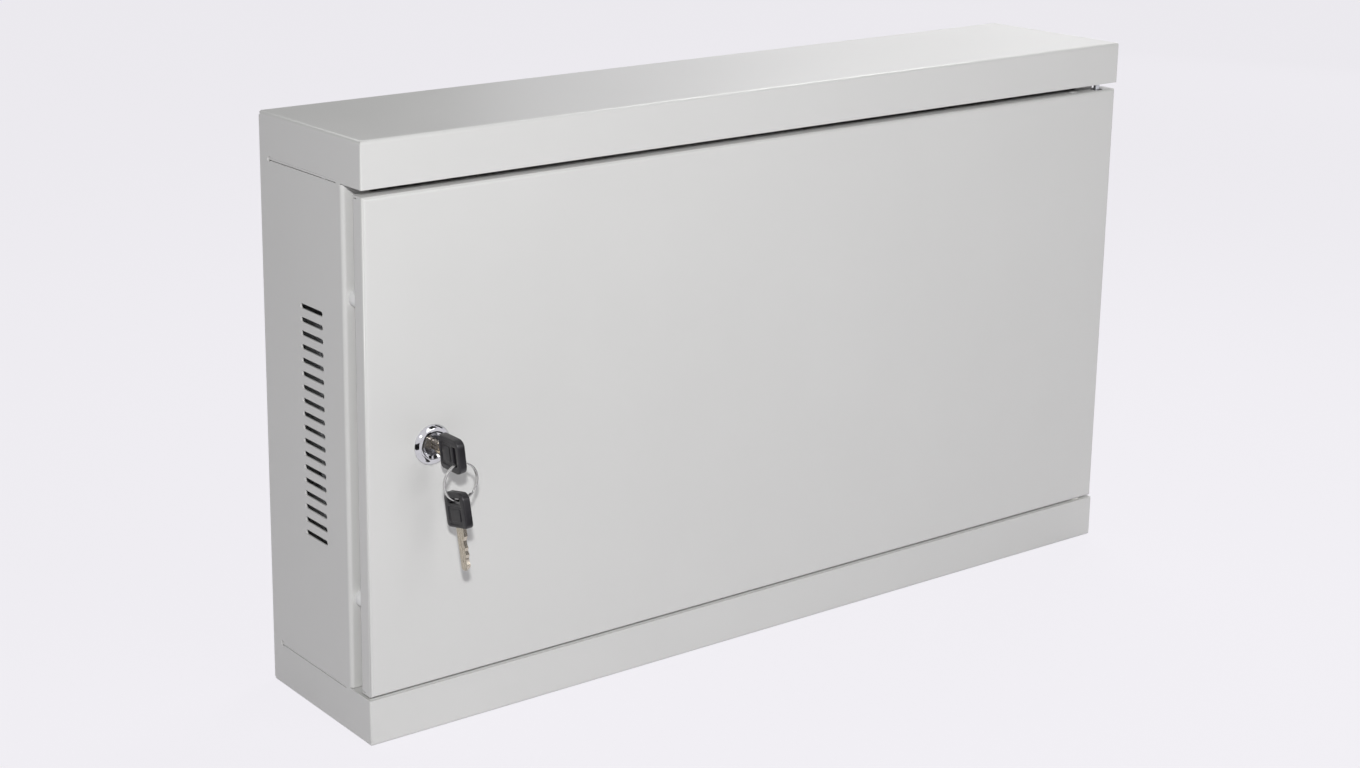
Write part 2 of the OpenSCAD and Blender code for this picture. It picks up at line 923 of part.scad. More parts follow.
module lock_plug() {
    color([0.78, 0.79, 0.80])
        with_key()
            difference() {
                union() {
                    at_lock(plug_face_y)
                        cylinder(r = plug_r, h = cam_y - plug_face_y);
                    translate([lock_x - tail_w / 2, cam_y - eps, lock_z - tail_w / 2])
                        cube([tail_w, cam_t - 0.1 + eps, tail_w]);
                }
                // keyway
                translate([lock_x - blade_t / 2 - keyway_gap, plug_face_y - 1, lock_z - blade_h / 2 - keyway_gap])
                    cube([blade_t + 2 * keyway_gap, keyway_end_y - plug_face_y + 1, blade_h + 2 * keyway_gap]);
                at_lock(cam_y - cam_bolt_bite)
                    cylinder(d = cam_bolt_d, h = cam_bolt_bite + cam_t + 1);
            }
}

module lock_cam() {
    tip_r = 5;
    color(zinc)
        with_key()
            difference() {
                translate([lock_x, cam_y + cam_t, lock_z])
                    rotate([90, 0, 0])
                        linear_extrude(cam_t)
                            union() {
                                circle(d = cam_w);
                                translate([-cam_w / 2, -cam_reach + tip_r])
                                    square([cam_w, cam_reach - tip_r]);
                                translate([-cam_w / 2 + tip_r, -cam_reach])
                                    square([cam_w - 2 * tip_r, cam_reach]);
                                for (sx = [-1, 1]) {
                                    translate([sx * (cam_w / 2 - tip_r), -cam_reach + tip_r])
                                        circle(tip_r);
                                }
                            }
                translate([lock_x - tail_w / 2, cam_y - 1, lock_z - tail_w / 2])
                    cube([tail_w, cam_t + 2, tail_w]);
            }
}

module cam_washer() {
    color(zinc)
        at_lock(cam_y + cam_t)
            difference() {
                cylinder(d = cam_washer_d, h = cam_washer_t);
                translate([0, 0, -1])
                    cylinder(d = cam_bolt_d, h = cam_washer_t + 2);
            }
}

module cam_bolt() {
    shank_len = cam_bolt_bite - 0.5 + cam_t + cam_washer_t;
    color(zinc)
        with_key()
            at_lock(cam_y + cam_t + cam_washer_t)
                union() {
                    hexagon(cam_bolt_af, cam_bolt_head_t);
                    translate([0, 0, -shank_len])
                        cylinder(d = cam_bolt_d, h = shank_len + 1);
                }
}

// ---------------------------------------------------------------- keys

// Key blade: the shoulder is at y = 0, the blade runs along +Y with its cuts on the lower edge
module blade() {
    cut = 1.7;
    bit = blade_len / 10;
    difference() {
        translate([-blade_t / 2, 0, 0])
            rotate([90, 0, 90])
                linear_extrude(blade_t)
                    polygon([
                        [-tang_len, -blade_h / 2],
                        [bit * 2, -blade_h / 2],
                        [bit * 3, -blade_h / 2 + cut],
                        [bit * 4, -blade_h / 2 + cut],
                        [bit * 4.6, -blade_h / 2 + cut / 2],
                        [bit * 5.4, -blade_h / 2 + cut],
                        [bit * 6.2, -blade_h / 2 + cut / 3],
                        [bit * 7, -blade_h / 2 + cut],
                        [bit * 7.8, -blade_h / 2 + cut],
                        [bit * 8.6, -blade_h / 2 + cut / 2],
                        [bit * 9.2, -blade_h / 2 + cut],
                        [blade_len, 0.6],
                        [blade_len, blade_h / 2 - 1.4],
                        [blade_len - 1.4, blade_h / 2],
                        [-tang_len, blade_h / 2]
                    ]);
        // guide grooves
        for (s = [-1, 1]) {
            translate([s * blade_t / 2, bit * 2 + over / 2, s * 0.9 + 0.5])
                cube([0.9, over, 0.8], center = true);
        }
    }
}

// Key head: the shoulder is at y = 0 and the head runs along -Y
module head() {
    end_r = 4.5;
    neck_r = 2;
    pad_len = 9;
    pad_w = 11;
    pad_depth = 0.5;
    difference() {
        translate([-head_t / 2, 0, head_rise])
            rotate([90, 0, 90])
                linear_extrude(head_t)
                    difference() {
                        union() {
                            translate([-head_len / 2 - end_r / 2, 0])
                                round_rect(head_len - end_r, head_w, end_r);
                            translate([-head_len / 2 + end_r / 2, 0])
                                round_rect(head_len - end_r, head_w, neck_r);
                        }
                        translate([eye_y, 0])
                            round_rect(eye_w, eye_len, 0.6);
                    }
        // pocket that holds the blade's tang
        translate([-blade_t / 2, -tang_len, -blade_h / 2])
            cube([blade_t, tang_len + 1, blade_h]);
        // recessed panel on both faces
        for (s = [-1, 1]) {
            translate([s * head_t / 2, -(head_len - eye_edge - eye_w) / 2 - 0.5, head_rise])
                cube([2 * pad_depth, pad_len, pad_w], center = true);
        }
    }
}

module key_place() {
    with_key()
        translate([lock_x, key_y, lock_z])
            children();
}

module key_blade() {
    color([0.80, 0.79, 0.76])
        key_place()
            blade();
}

module key_head() {
    color(black)
        key_place()
            head();
}

// Split ring: two turns of wire side by side
module key_ring() {
    color([0.78, 0.79, 0.80])
        translate([ring_x, ring_y, ring_z])
            rotate([90, 0, 0])
                for (s = [-1, 1]) {
                    translate([0, 0, s * wire_step / 2])
                        rotate_extrude($fn = 64)
                            translate([ring_mid_r, 0])
                                circle(d = ring_wire_d, $fn = 24);
                }
}

// The spare key hangs with its blade down from the ring's lowest point
module spare_place() {
    eye_top = -eye_y + eye_w / 2;
    translate([ring_x, ring_y, ring_z - ring_mid_r])
        rotate([0, -spare_lean, 0])
            rotate([-spare_tilt, 0, 0])
                translate([0, spare_shift, ring_seat - eye_top])
                    rotate([-90, 0, 0])
                        translate([0, 0, -head_rise])
                            children();
}

module spare_key_blade() {
    color([0.80, 0.79, 0.76])
        spare_place()
            blade();
}

module spare_key_head() {
    color(black)
        spare_place()
            head();
}

top_panel();
bottom_panel();
left_side_panel();
right_side_panel();
back_panel();
upper_deck();
lower_deck();
cable_grommets();
left_rack_bracket();
right_rack_bracket();
bracket_studs();
bracket_nuts();
body_earth_stud();
body_earth_nut();
door_buffers();
upper_hinge_pin();
lower_hinge_pin();
hinge_washer();
door_panel();
upper_hinge_bush();
lower_hinge_bush();
door_earth_stud();
door_earth_nut();
lock_housing();
lock_nut();
lock_plug();
lock_cam();
cam_washer();
cam_bolt();
key_blade();
key_head();
key_ring();
spare_key_blade();
spare_key_head();
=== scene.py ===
import math

import bmesh
import bpy
from mathutils import Matrix, Quaternion, Vector


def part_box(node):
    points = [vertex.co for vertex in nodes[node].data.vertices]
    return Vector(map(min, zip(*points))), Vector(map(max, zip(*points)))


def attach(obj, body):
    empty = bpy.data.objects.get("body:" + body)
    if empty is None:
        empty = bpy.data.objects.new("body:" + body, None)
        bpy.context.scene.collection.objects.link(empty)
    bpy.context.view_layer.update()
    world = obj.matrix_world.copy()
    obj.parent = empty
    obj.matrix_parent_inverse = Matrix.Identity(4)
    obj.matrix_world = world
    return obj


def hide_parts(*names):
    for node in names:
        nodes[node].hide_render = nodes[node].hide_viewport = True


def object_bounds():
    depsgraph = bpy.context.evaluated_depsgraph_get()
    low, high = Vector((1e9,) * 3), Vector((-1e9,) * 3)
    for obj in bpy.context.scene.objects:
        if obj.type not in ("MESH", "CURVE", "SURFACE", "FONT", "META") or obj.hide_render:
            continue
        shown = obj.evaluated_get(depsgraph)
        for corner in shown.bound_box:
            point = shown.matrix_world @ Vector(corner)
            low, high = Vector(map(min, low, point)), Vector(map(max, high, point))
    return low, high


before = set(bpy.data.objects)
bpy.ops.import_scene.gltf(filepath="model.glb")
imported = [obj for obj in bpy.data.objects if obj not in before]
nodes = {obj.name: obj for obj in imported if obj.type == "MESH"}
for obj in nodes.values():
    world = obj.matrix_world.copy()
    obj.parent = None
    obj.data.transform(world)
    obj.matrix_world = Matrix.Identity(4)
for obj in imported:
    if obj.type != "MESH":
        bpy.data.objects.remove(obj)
cad_box = [list(corner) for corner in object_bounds()]

# ---------------------------------------------------------------------------
# Camera. It stands in front of the cabinet's left corner and looks down on it.
# Its lens axis lies left of and above the middle of the view.

VIEW_SIZE = (1360, 768)
FOCAL_PX = 2313.3
LENS_AXIS_PX = (505.3, 260.2)
CAMERA_PLACE = (-0.9234, -1.1109, 0.597)
CAMERA_TURN = 34.263
CAMERA_TILT = 14.147
CAMERA_ROLL = -0.181

camera_data = bpy.data.cameras.new("camera")
camera_data.sensor_width = 36
camera_data.lens = FOCAL_PX / VIEW_SIZE[0] * camera_data.sensor_width
camera_data.shift_x = (VIEW_SIZE[0] / 2 - LENS_AXIS_PX[0]) / VIEW_SIZE[0]
camera_data.shift_y = (LENS_AXIS_PX[1] - VIEW_SIZE[1] / 2) / VIEW_SIZE[0]
camera_data.clip_start = 0.01
camera = bpy.data.objects.new("camera", camera_data)
camera.location = CAMERA_PLACE
camera.rotation_mode = "QUATERNION"
camera.rotation_quaternion = (
    Quaternion((0, 0, 1), math.radians(-CAMERA_TURN))
    @ Quaternion((1, 0, 0), math.radians(90 - CAMERA_TILT))
    @ Quaternion((0, 0, 1), math.radians(CAMERA_ROLL))
)
bpy.context.scene.collection.objects.link(camera)
bpy.context.scene.camera = camera

# ---------------------------------------------------------------------------
# Studio. The cabinet stands on pale seamless paper. A small softbox just above the
# camera throws the shadows, three larger ones and a dim white room fill in, and
# black flags put dark stripes in the chrome.

MM = 0.001
BACKDROP_HEX = "F0EEF3"
PAPER_GLOW = 0.945
PAPER_GRAIN = 3 * MM


def linear(hex_colour):
    """Linear RGBA of an sRGB hex colour."""
    channels = [int(hex_colour[i : i + 2], 16) / 255 for i in (0, 2, 4)]
    return [c / 12.92 if c <= 0.04045 else ((c + 0.055) / 1.055) ** 2.4 for c in channels] + [1.0]


def add_node(tree, kind, settings=None, inputs=None):
    """Adds a shader node. settings are its properties; inputs are values, or sockets to link from."""
    made = tree.nodes.new(kind)
    for name, value in (settings or {}).items():
        setattr(made, name, value)
    for name, value in (inputs or {}).items():
        if isinstance(value, bpy.types.NodeSocket):
            tree.links.new(value, made.inputs[name])
        else:
            made.inputs[name].default_value = value
    return made


def outward(azimuth, elevation):
    """Unit vector at these degrees. Azimuth 0 is straight in front, and 90 is on the cabinet's right."""
    turn, lift = math.radians(azimuth), math.radians(elevation)
    return Vector((math.sin(turn) * math.cos(lift), -math.cos(turn) * math.cos(lift), math.sin(lift)))


low, high = (Vector(corner) for corner in cad_box)
cabinet_middle = (low + high) / 2

# Softbox name, azimuth and elevation from the cabinet, distance, side and power
SOFTBOXES = (
    ("key_softbox", -39.2, 25.5, 1.89, 0.085, 19.8),
    ("front_softbox", 10, 40, 1.5, 0.8, 5.0),
    ("top_softbox", 122, 48, 1.05, 0.5, 4.2),
    ("rear_softbox", 118, 10, 2.4, 1.0, 1.5),
)
ROOM_LIGHT = 0.12

for name, azimuth, elevation, distance, side, watts in SOFTBOXES:
    away = outward(azimuth, elevation)
    lamp = bpy.data.lights.new(name, "AREA")
    lamp.shape = "SQUARE"
    lamp.size = side
    lamp.energy = watts
    holder = bpy.data.objects.new(name, lamp)
    holder.location = cabinet_middle + away * distance
    holder.rotation_euler = (-away).to_track_quat("-Z", "Y").to_euler()
    holder.visible_camera = False
    bpy.context.scene.collection.objects.link(holder)


def seen_directly(tree):
    """1 for rays from the camera and for mirrored or refracted ones, 0 for light that is bounced softly."""
    path = add_node(tree, "ShaderNodeLightPath")
    seen = path.outputs["Is Camera Ray"]
    for other in ("Is Glossy Ray", "Is Transmission Ray"):
        either = {0: seen, 1: path.outputs[other]}
        seen = add_node(tree, "ShaderNodeMath", {"operation": "MAXIMUM"}, either).outputs[0]
    return seen


world = bpy.data.worlds.new("studio_air")
bpy.context.scene.world = world
world.use_nodes = True
air = world.node_tree
air.nodes.clear()
air_seen = add_node(air, "ShaderNodeBackground", inputs={"Color": linear(BACKDROP_HEX), "Strength": 1.0})
air_light = add_node(air, "ShaderNodeBackground", inputs={"Color": linear("FFFFFF"), "Strength": ROOM_LIGHT})
air_mix = add_node(
    air,
    "ShaderNodeMixShader",
    inputs={0: seen_directly(air), 1: air_light.outputs[0], 2: air_seen.outputs[0]},
)
add_node(air, "ShaderNodeOutputWorld", inputs={"Surface": air_mix.outputs[0]})


def new_material(name):
    """Empty node material and its tree."""
    material = bpy.data.materials.new(name)
    material.use_nodes = True
    material.node_tree.nodes.clear()
    return material, material.node_tree


def seamless_paper():
    """Matt paper: mostly its own pale tone, with a part that lamps and shadows still reach."""
    material, tree = new_material("seamless_paper")
    tone = add_node(
        tree,
        "ShaderNodeEmission",
        inputs={"Color": linear(BACKDROP_HEX), "Strength": PAPER_GLOW},
    )
    grain = add_node(tree, "ShaderNodeTexNoise", inputs={"Scale": 1 / PAPER_GRAIN, "Detail": 2.0})
    bump = add_node(
        tree,
        "ShaderNodeBump",
        inputs={"Strength": 0.05, "Distance": 0.1 * MM, "Height": grain.outputs[0]},
    )
    lit = add_node(
        tree,
        "ShaderNodeBsdfDiffuse",
        inputs={"Color": linear("4D4C4E"), "Normal": bump.outputs[0]},
    )
    both = add_node(tree, "ShaderNodeAddShader", inputs={0: tone.outputs[0], 1: lit.outputs[0]})
    bounce = add_node(tree, "ShaderNodeBsdfDiffuse", inputs={"Color": linear(BACKDROP_HEX)})
    surface = add_node(
        tree,
        "ShaderNodeMixShader",
        inputs={0: seen_directly(tree), 1: bounce.outputs[0], 2: both.outputs[0]},
    )
    add_node(tree, "ShaderNodeOutputMaterial", inputs={"Surface": surface.outputs[0]})
    return material


def add_rectangle(name, width, height, z, material):
    """Flat rectangle at height z, centred on the Z axis."""
    data = bpy.data.meshes.new(name)
    corners = [(sx * width / 2, sy * height / 2, z) for sx, sy in ((-1, -1), (1, -1), (1, 1), (-1, 1))]
    data.from_pydata(corners, [], [(0, 1, 2, 3)])
    data.materials.append(material)
    rectangle = bpy.data.objects.new(name, data)
    bpy.context.scene.collection.objects.link(rectangle)
    return rectangle


FLOOR_SIDE = 16.0
floor = add_rectangle("studio_floor", FLOOR_SIDE, FLOOR_SIDE, low.z, seamless_paper())

# Black flag name, azimuth, elevation, distance from the lock, width and height. Only mirrored
# rays see the flags, so that chrome and blades get the dark stripes they have in a studio.
FLAGS = (
    ("left_flag", -55, -12, 0.42, 0.5, 0.2),
    ("right_flag", 34, -15, 0.45, 0.4, 0.2),
    ("upper_flag", 36, 46, 1.1, 0.5, 0.6),
    ("far_upper_flag", 74, 34, 1.1, 0.35, 0.6),
    ("back_flag", 170, 14, 1.5, 1.3, 0.9),
)
FLAG_TARGET = Vector((-256 * MM, -60 * MM, 175 * MM))


def black_felt():
    """Felt: dead matt black with a soft nap, which lights nothing around it."""
    material, tree = new_material("black_felt")
    place = add_node(tree, "ShaderNodeTexCoord").outputs["Object"]
    nap = add_node(tree, "ShaderNodeTexNoise", inputs={"Vector": place, "Scale": 1 / (2 * MM), "Detail": 2.0})
    bump = add_node(
        tree,
        "ShaderNodeBump",
        inputs={"Strength": 0.3, "Distance": 0.3 * MM, "Height": nap.outputs[0]},
    )
    cloth = add_node(
        tree,
        "ShaderNodeBsdfPrincipled",
        inputs={"Base Color": linear("1C1C1D"), "Roughness": 0.95, "IOR": 1.4, "Normal": bump.outputs[0]},
    )
    add_node(tree, "ShaderNodeOutputMaterial", inputs={"Surface": cloth.outputs[0]})
    return material


felt = black_felt()
for name, azimuth, elevation, distance, width, height in FLAGS:
    away = outward(azimuth, elevation)
    flag = add_rectangle(name, width, height, 0, felt)
    flag.location = FLAG_TARGET + away * distance
    flag.rotation_euler = away.to_track_quat("Z", "Y").to_euler()
    flag.visible_camera = False
    flag.visible_diffuse = False
    flag.visible_transmission = False
    flag.visible_shadow = False

bpy.context.scene.view_settings.view_transform = "Standard"

# ---------------------------------------------------------------------------
# Cabinet sheets and door. 1.2 mm steel, cut, folded and spot welded, then powder
# coated light grey. The coat melts into a satin skin with a faint orange peel, and
# the welded seams on the front corners are ground by hand.

SHEET_NODES = (
    "top_panel",
    "bottom_panel",
    "left_side_panel",
    "right_side_panel",
    "back_panel",
    "upper_deck",
    "lower_deck",
    "door_panel",
)
THIN_NODES = ("top_panel", "bottom_panel", "upper_deck", "lower_deck")
ORANGE_PEEL = 1.6 * MM
EDGE_ROUND = 0.25 * MM
EDGE_SEGMENTS = 2
SHARP_ANGLE = math.radians(40)
FLAT_ANGLE = math.radians(0.5)
WELD_REACH = 0.005 * MM
SIDE_X = 298.5 * MM
# Ground seams: axis across the seam, and the seam's place on that axis
GROUND_SEAMS = ((2, 352.6 * MM), (2, 2.4 * MM), (1, -55.8 * MM))
SEAM_REACH = 0.3 * MM


def edge_marks(name, angle, seams=()):
    """Node group that weights every edge sharper than angle for rounding, except those on the ground
    seams: planes across axis 1 (Y) or 2 (Z) where two sheets lie flush on the cabinet's sides."""
    group = bpy.data.node_groups.new(name, "GeometryNodeTree")
    group.interface.new_socket("Geometry", in_out="INPUT", socket_type="NodeSocketGeometry")
    group.interface.new_socket("Geometry", in_out="OUTPUT", socket_type="NodeSocketGeometry")
    source = add_node(group, "NodeGroupInput")
    bend = add_node(group, "GeometryNodeInputMeshEdgeAngle")
    sharp = add_node(group, "ShaderNodeMath", {"operation": "GREATER_THAN"}, {0: bend.outputs[0], 1: angle})
    weight = sharp.outputs[0]
    position = add_node(group, "GeometryNodeInputPosition").outputs[0]
    place = add_node(group, "ShaderNodeSeparateXYZ", inputs={0: position})
    across = add_node(group, "ShaderNodeMath", {"operation": "ABSOLUTE"}, {0: place.outputs[0]})
    outside = {0: across.outputs[0], 1: SIDE_X}
    on_side = add_node(group, "ShaderNodeMath", {"operation": "GREATER_THAN"}, outside)
    for axis, seam in seams:
        around = {0: place.outputs[axis], 1: seam, 2: SEAM_REACH}
        near = add_node(group, "ShaderNodeMath", {"operation": "COMPARE"}, around)
        both = {0: near.outputs[0], 1: on_side.outputs[0]}
        ground = add_node(group, "ShaderNodeMath", {"operation": "MULTIPLY"}, both)
        kept = add_node(group, "ShaderNodeMath", {"operation": "SUBTRACT"}, {0: 1.0, 1: ground.outputs[0]})
        rest = {0: weight, 1: kept.outputs[0]}
        weight = add_node(group, "ShaderNodeMath", {"operation": "MULTIPLY"}, rest).outputs[0]
    store = add_node(
        group,
        "GeometryNodeStoreNamedAttribute",
        {"data_type": "FLOAT", "domain": "EDGE"},
        {"Geometry": source.outputs[0], "Name": "bevel_weight_edge", "Value": weight},
    )
    add_node(group, "NodeGroupOutput", inputs={0: store.outputs[0]})
    return group


def soften_edges(piece, width, marks, keep_thin=False):
    """Welds split corners, joins flat triangles, rounds the edges that marks picks and keeps the large
    faces shaded flat. keep_thin narrows the rounding where a face runs out to nothing."""
    weld = piece.modifiers.new("weld", "WELD")
    weld.merge_threshold = WELD_REACH
    flat = piece.modifiers.new("join_flats", "DECIMATE")
    flat.decimate_type = "DISSOLVE"
    flat.angle_limit = FLAT_ANGLE
    picked = piece.modifiers.new("edge_marks", "NODES")
    picked.node_group = marks
    edge = piece.modifiers.new("edge_round", "BEVEL")
    edge.width = width
    edge.segments = EDGE_SEGMENTS
    edge.limit_method = "WEIGHT"
    edge.use_clamp_overlap = keep_thin
    edge.loop_slide = False
    shading = piece.modifiers.new("flat_shading", "WEIGHTED_NORMAL")
    shading.mode = "FACE_AREA"
    shading.weight = 100
    shading.keep_sharp = True


def powder_coated_steel():
    """Powder coat, baked on: an even light grey satin skin over a faint orange peel."""
    material, tree = new_material("powder_coated_steel")
    place = add_node(tree, "ShaderNodeTexCoord").outputs["Object"]
    cloud = add_node(
        tree,
        "ShaderNodeTexNoise",
        inputs={"Vector": place, "Scale": 1 / (70 * MM), "Detail": 3.0},
    )
    tone = add_node(
        tree,
        "ShaderNodeMix",
        {"data_type": "RGBA"},
        {0: cloud.outputs[0], 6: linear("D1D1CF"), 7: linear("D5D5D3")},
    )
    peel = add_node(
        tree,
        "ShaderNodeTexNoise",
        inputs={"Vector": place, "Scale": 1 / ORANGE_PEEL, "Detail": 2.0},
    )
    bump = add_node(
        tree,
        "ShaderNodeBump",
        inputs={"Strength": 0.25, "Distance": 0.012 * MM, "Height": peel.outputs[0]},
    )
    gloss = add_node(
        tree,
        "ShaderNodeMapRange",
        inputs={"Value": cloud.outputs[0], "To Min": 0.36, "To Max": 0.44},
    )
    coat = add_node(
        tree,
        "ShaderNodeBsdfPrincipled",
        inputs={
            "Base Color": tone.outputs[2],
            "Roughness": gloss.outputs[0],
            "IOR": 1.5,
            "Normal": bump.outputs[0],
        },
    )
    add_node(tree, "ShaderNodeOutputMaterial", inputs={"Surface": coat.outputs[0]})
    return material


paint = powder_coated_steel()
sheet_marks = edge_marks("sheet_edges", SHARP_ANGLE, GROUND_SEAMS)
plain_marks = edge_marks("sharp_edges", SHARP_ANGLE)
for name in SHEET_NODES:
    nodes[name].material_slots[0].material = paint
    soften_edges(nodes[name], EDGE_ROUND, sheet_marks, keep_thin=name in THIN_NODES)

# ---------------------------------------------------------------------------
# Rack brackets. Two C-shaped brackets of hot-dip galvanised steel carry the 19 inch
# equipment. The zinc has frozen into spangles and is passivated to a light, matt grey.

SPANGLE = 7 * MM
SPANGLE_WANDER = 0.001
BRACKET_EDGE_ROUND = 0.2 * MM


def galvanised_steel():
    """Hot-dip zinc: flat spangles, each a little lighter or duller than the next."""
    material, tree = new_material("galvanised_steel")
    place = add_node(tree, "ShaderNodeTexCoord").outputs["Object"]
    wander = add_node(
        tree,
        "ShaderNodeTexNoise",
        inputs={"Vector": place, "Scale": 1 / (3 * MM), "Detail": 2.0},
    )
    path = {0: SPANGLE_WANDER, 4: place, 5: wander.outputs["Color"]}
    bent = add_node(tree, "ShaderNodeMix", {"data_type": "VECTOR"}, path)
    crystal = add_node(tree, "ShaderNodeTexVoronoi", inputs={"Vector": bent.outputs[1], "Scale": 1 / SPANGLE})
    shade = add_node(tree, "ShaderNodeSeparateColor", inputs={"Color": crystal.outputs["Color"]})
    tone = add_node(
        tree,
        "ShaderNodeMix",
        {"data_type": "RGBA"},
        {0: shade.outputs[0], 6: linear("C2C5C7"), 7: linear("DADCDD")},
    )
    gloss = add_node(
        tree,
        "ShaderNodeMapRange",
        inputs={"Value": shade.outputs[1], "To Min": 0.42, "To Max": 0.6},
    )
    bump = add_node(
        tree,
        "ShaderNodeBump",
        inputs={"Strength": 0.3, "Distance": 0.02 * MM, "Height": shade.outputs[2]},
    )
    zinc_coat = add_node(
        tree,
        "ShaderNodeBsdfPrincipled",
        inputs={
            "Base Color": tone.outputs[2],
            "Roughness": gloss.outputs[0],
            "Metallic": 0.3,
            "Normal": bump.outputs[0],
        },
    )
    add_node(tree, "ShaderNodeOutputMaterial", inputs={"Surface": zinc_coat.outputs[0]})
    return material


galvanised = galvanised_steel()
for name in ("left_rack_bracket", "right_rack_bracket"):
    nodes[name].material_slots[0].material = galvanised
    soften_edges(nodes[name], BRACKET_EDGE_ROUND, plain_marks)

# ---------------------------------------------------------------------------
# Clinch studs and flange nuts. Zinc-plated steel: M6 studs pressed into the sheet
# hold the brackets, and one more on the body and on the door takes an earth lead.

THREAD_PITCH = 1.0 * MM
THREAD_DEPTH = 0.6
STUD_RADIUS = 3.0 * MM
STUD_CHAMFER = 0.8 * MM
CLINCH_CORE = STUD_RADIUS - 0.7 * MM
CLINCH_RADIUS = 4.5 * MM
CLINCH_HEIGHT = 1.0 * MM
CLINCH_EDGE = 0.3 * MM
CLINCH_TAPER = 0.5 * MM
NUT_FLATS = 10 * MM
NUT_HEIGHT = 5 * MM
NUT_BORE = 3.08 * MM
NUT_LAP = 0.3 * MM
FACE_SHARE = 0.96
CHAMFER_ANGLE = math.radians(30)
FLANGE_RADIUS = 6.5 * MM
FLANGE_HEIGHT = 1.4 * MM
FLANGE_RIM = 0.5 * MM
FLANGE_EDGE = 0.3 * MM


def zinc_plated_steel():
    """Electroplated and passivated zinc: bright metal with a faint cool haze."""
    material, tree = new_material("zinc_plated_steel")
    place = add_node(tree, "ShaderNodeTexCoord").outputs["Object"]
    haze = add_node(
        tree,
        "ShaderNodeTexNoise",
        inputs={"Vector": place, "Scale": 1 / (2.5 * MM), "Detail": 4.0},
    )
    tone = add_node(
        tree,
        "ShaderNodeMix",
        {"data_type": "RGBA"},
        {0: haze.outputs[0], 6: linear("B9BEC6"), 7: linear("D2D3D2")},
    )
    gloss = add_node(
        tree,
        "ShaderNodeMapRange",
        inputs={"Value": haze.outputs[0], "To Min": 0.2, "To Max": 0.4},
    )
    bump = add_node(
        tree,
        "ShaderNodeBump",
        inputs={"Strength": 0.2, "Distance": 0.01 * MM, "Height": haze.outputs[0]},
    )
    plating = add_node(
        tree,
        "ShaderNodeBsdfPrincipled",
        inputs={
            "Base Color": tone.outputs[2],
            "Roughness": gloss.outputs[0],
            "Metallic": 1.0,
            "Normal": bump.outputs[0],
        },
    )
    add_node(tree, "ShaderNodeOutputMaterial", inputs={"Surface": plating.outputs[0]})
    return material


def ring_points(radius, height, count=48):
    """Points of a circle round the Z axis. radius and height may be functions of the angle."""
    points = []
    for i in range(count):
        angle = 2 * math.pi * i / count
        r = radius(angle) if callable(radius) else radius
        h = height(angle) if callable(height) else height
        points.append((r * math.cos(angle), r * math.sin(angle), h))
    return points


def join_rings(mesh, rings, closed=False):
    """Adds a skin between rings of the same number of points. closed joins the last to the first."""
    made = [[mesh.verts.new(point) for point in ring] for ring in rings]
    pairs = list(zip(made, made[1:])) + ([(made[-1], made[0])] if closed else [])
    for lower, upper in pairs:
        for i in range(len(lower)):
            j = (i + 1) % len(lower)
            mesh.faces.new((lower[i], lower[j], upper[j], upper[i]))


def add_hexagon(mesh, flats, z0, z1, bore, chamfer_low=True):
    """Hexagonal prism with a bore, whose corners are turned off by a chamfer."""
    face_radius = FACE_SHARE * flats / 2

    def corner(angle):
        return flats / 2 / math.cos(angle % (math.pi / 3) - math.pi / 6)

    def drop(angle):
        return max(corner(angle) - face_radius, 0) * math.tan(CHAMFER_ANGLE)

    low_radius = face_radius if chamfer_low else corner
    rings = [
        ring_points(bore, z0),
        ring_points(low_radius, z0),
        ring_points(corner, lambda angle: z0 + (drop(angle) if chamfer_low else 0)),
        ring_points(corner, lambda angle: z1 - drop(angle)),
        ring_points(face_radius, z1),
        ring_points(bore, z1),
    ]
    join_rings(mesh, rings, closed=True)


def add_thread(mesh, radius, length, chamfer=STUD_CHAMFER, flats=None, steps=36):
    """Threaded rod from z = 0 to length. flats mills two sides off at that half width."""
    pitch = THREAD_PITCH
    root = radius - THREAD_DEPTH * pitch
    # Profile of one turn: share of the pitch, and radius
    shape = ((0.0, root), (0.36, radius), (0.5, radius), (0.86, root))
    turns = math.ceil(length / pitch) + 2
    rows = []
    for i in range(turns * steps + 1):
        angle = 2 * math.pi * i / steps
        start = pitch * (i / steps - 1)
        rows.append([(r * math.cos(angle), r * math.sin(angle), start + f * pitch) for f, r in shape])
    made = [[mesh.verts.new(point) for point in row] for row in rows]
    for i in range(len(made) - 1):
        for k in range(len(shape) - 1):
            mesh.faces.new((made[i][k], made[i + 1][k], made[i + 1][k + 1], made[i][k + 1]))
        if i + steps + 1 < len(made):
            mesh.faces.new((made[i][-1], made[i + 1][-1], made[i + steps + 1][0], made[i + steps][0]))
    new_verts = {vert for row in made for vert in row}
    for z, side in ((0, -1), (length, 1)):
        everything = (*mesh.verts, *mesh.edges, *mesh.faces)
        geometry = [g for g in everything if new_verts.issuperset(getattr(g, "verts", [g]))]
        cut = bmesh.ops.bisect_plane(
            mesh, geom=geometry, dist=1e-7, plane_co=(0, 0, z), plane_no=(0, 0, side), clear_outer=True
        )
        rim = [g for g in cut["geom_cut"] if isinstance(g, bmesh.types.BMEdge)]
        new_verts = {v for v in new_verts if v.is_valid} | {v for edge in rim for v in edge.verts}
        bmesh.ops.contextual_create(mesh, geom=rim)
    for vert in new_verts:
        limit = radius - chamfer + (length - vert.co.z)
        reach = math.hypot(vert.co.x, vert.co.y)
        if reach > limit:
            vert.co.x *= limit / reach
            vert.co.y *= limit / reach
        if flats:
            vert.co.x = max(-flats, min(flats, vert.co.x))


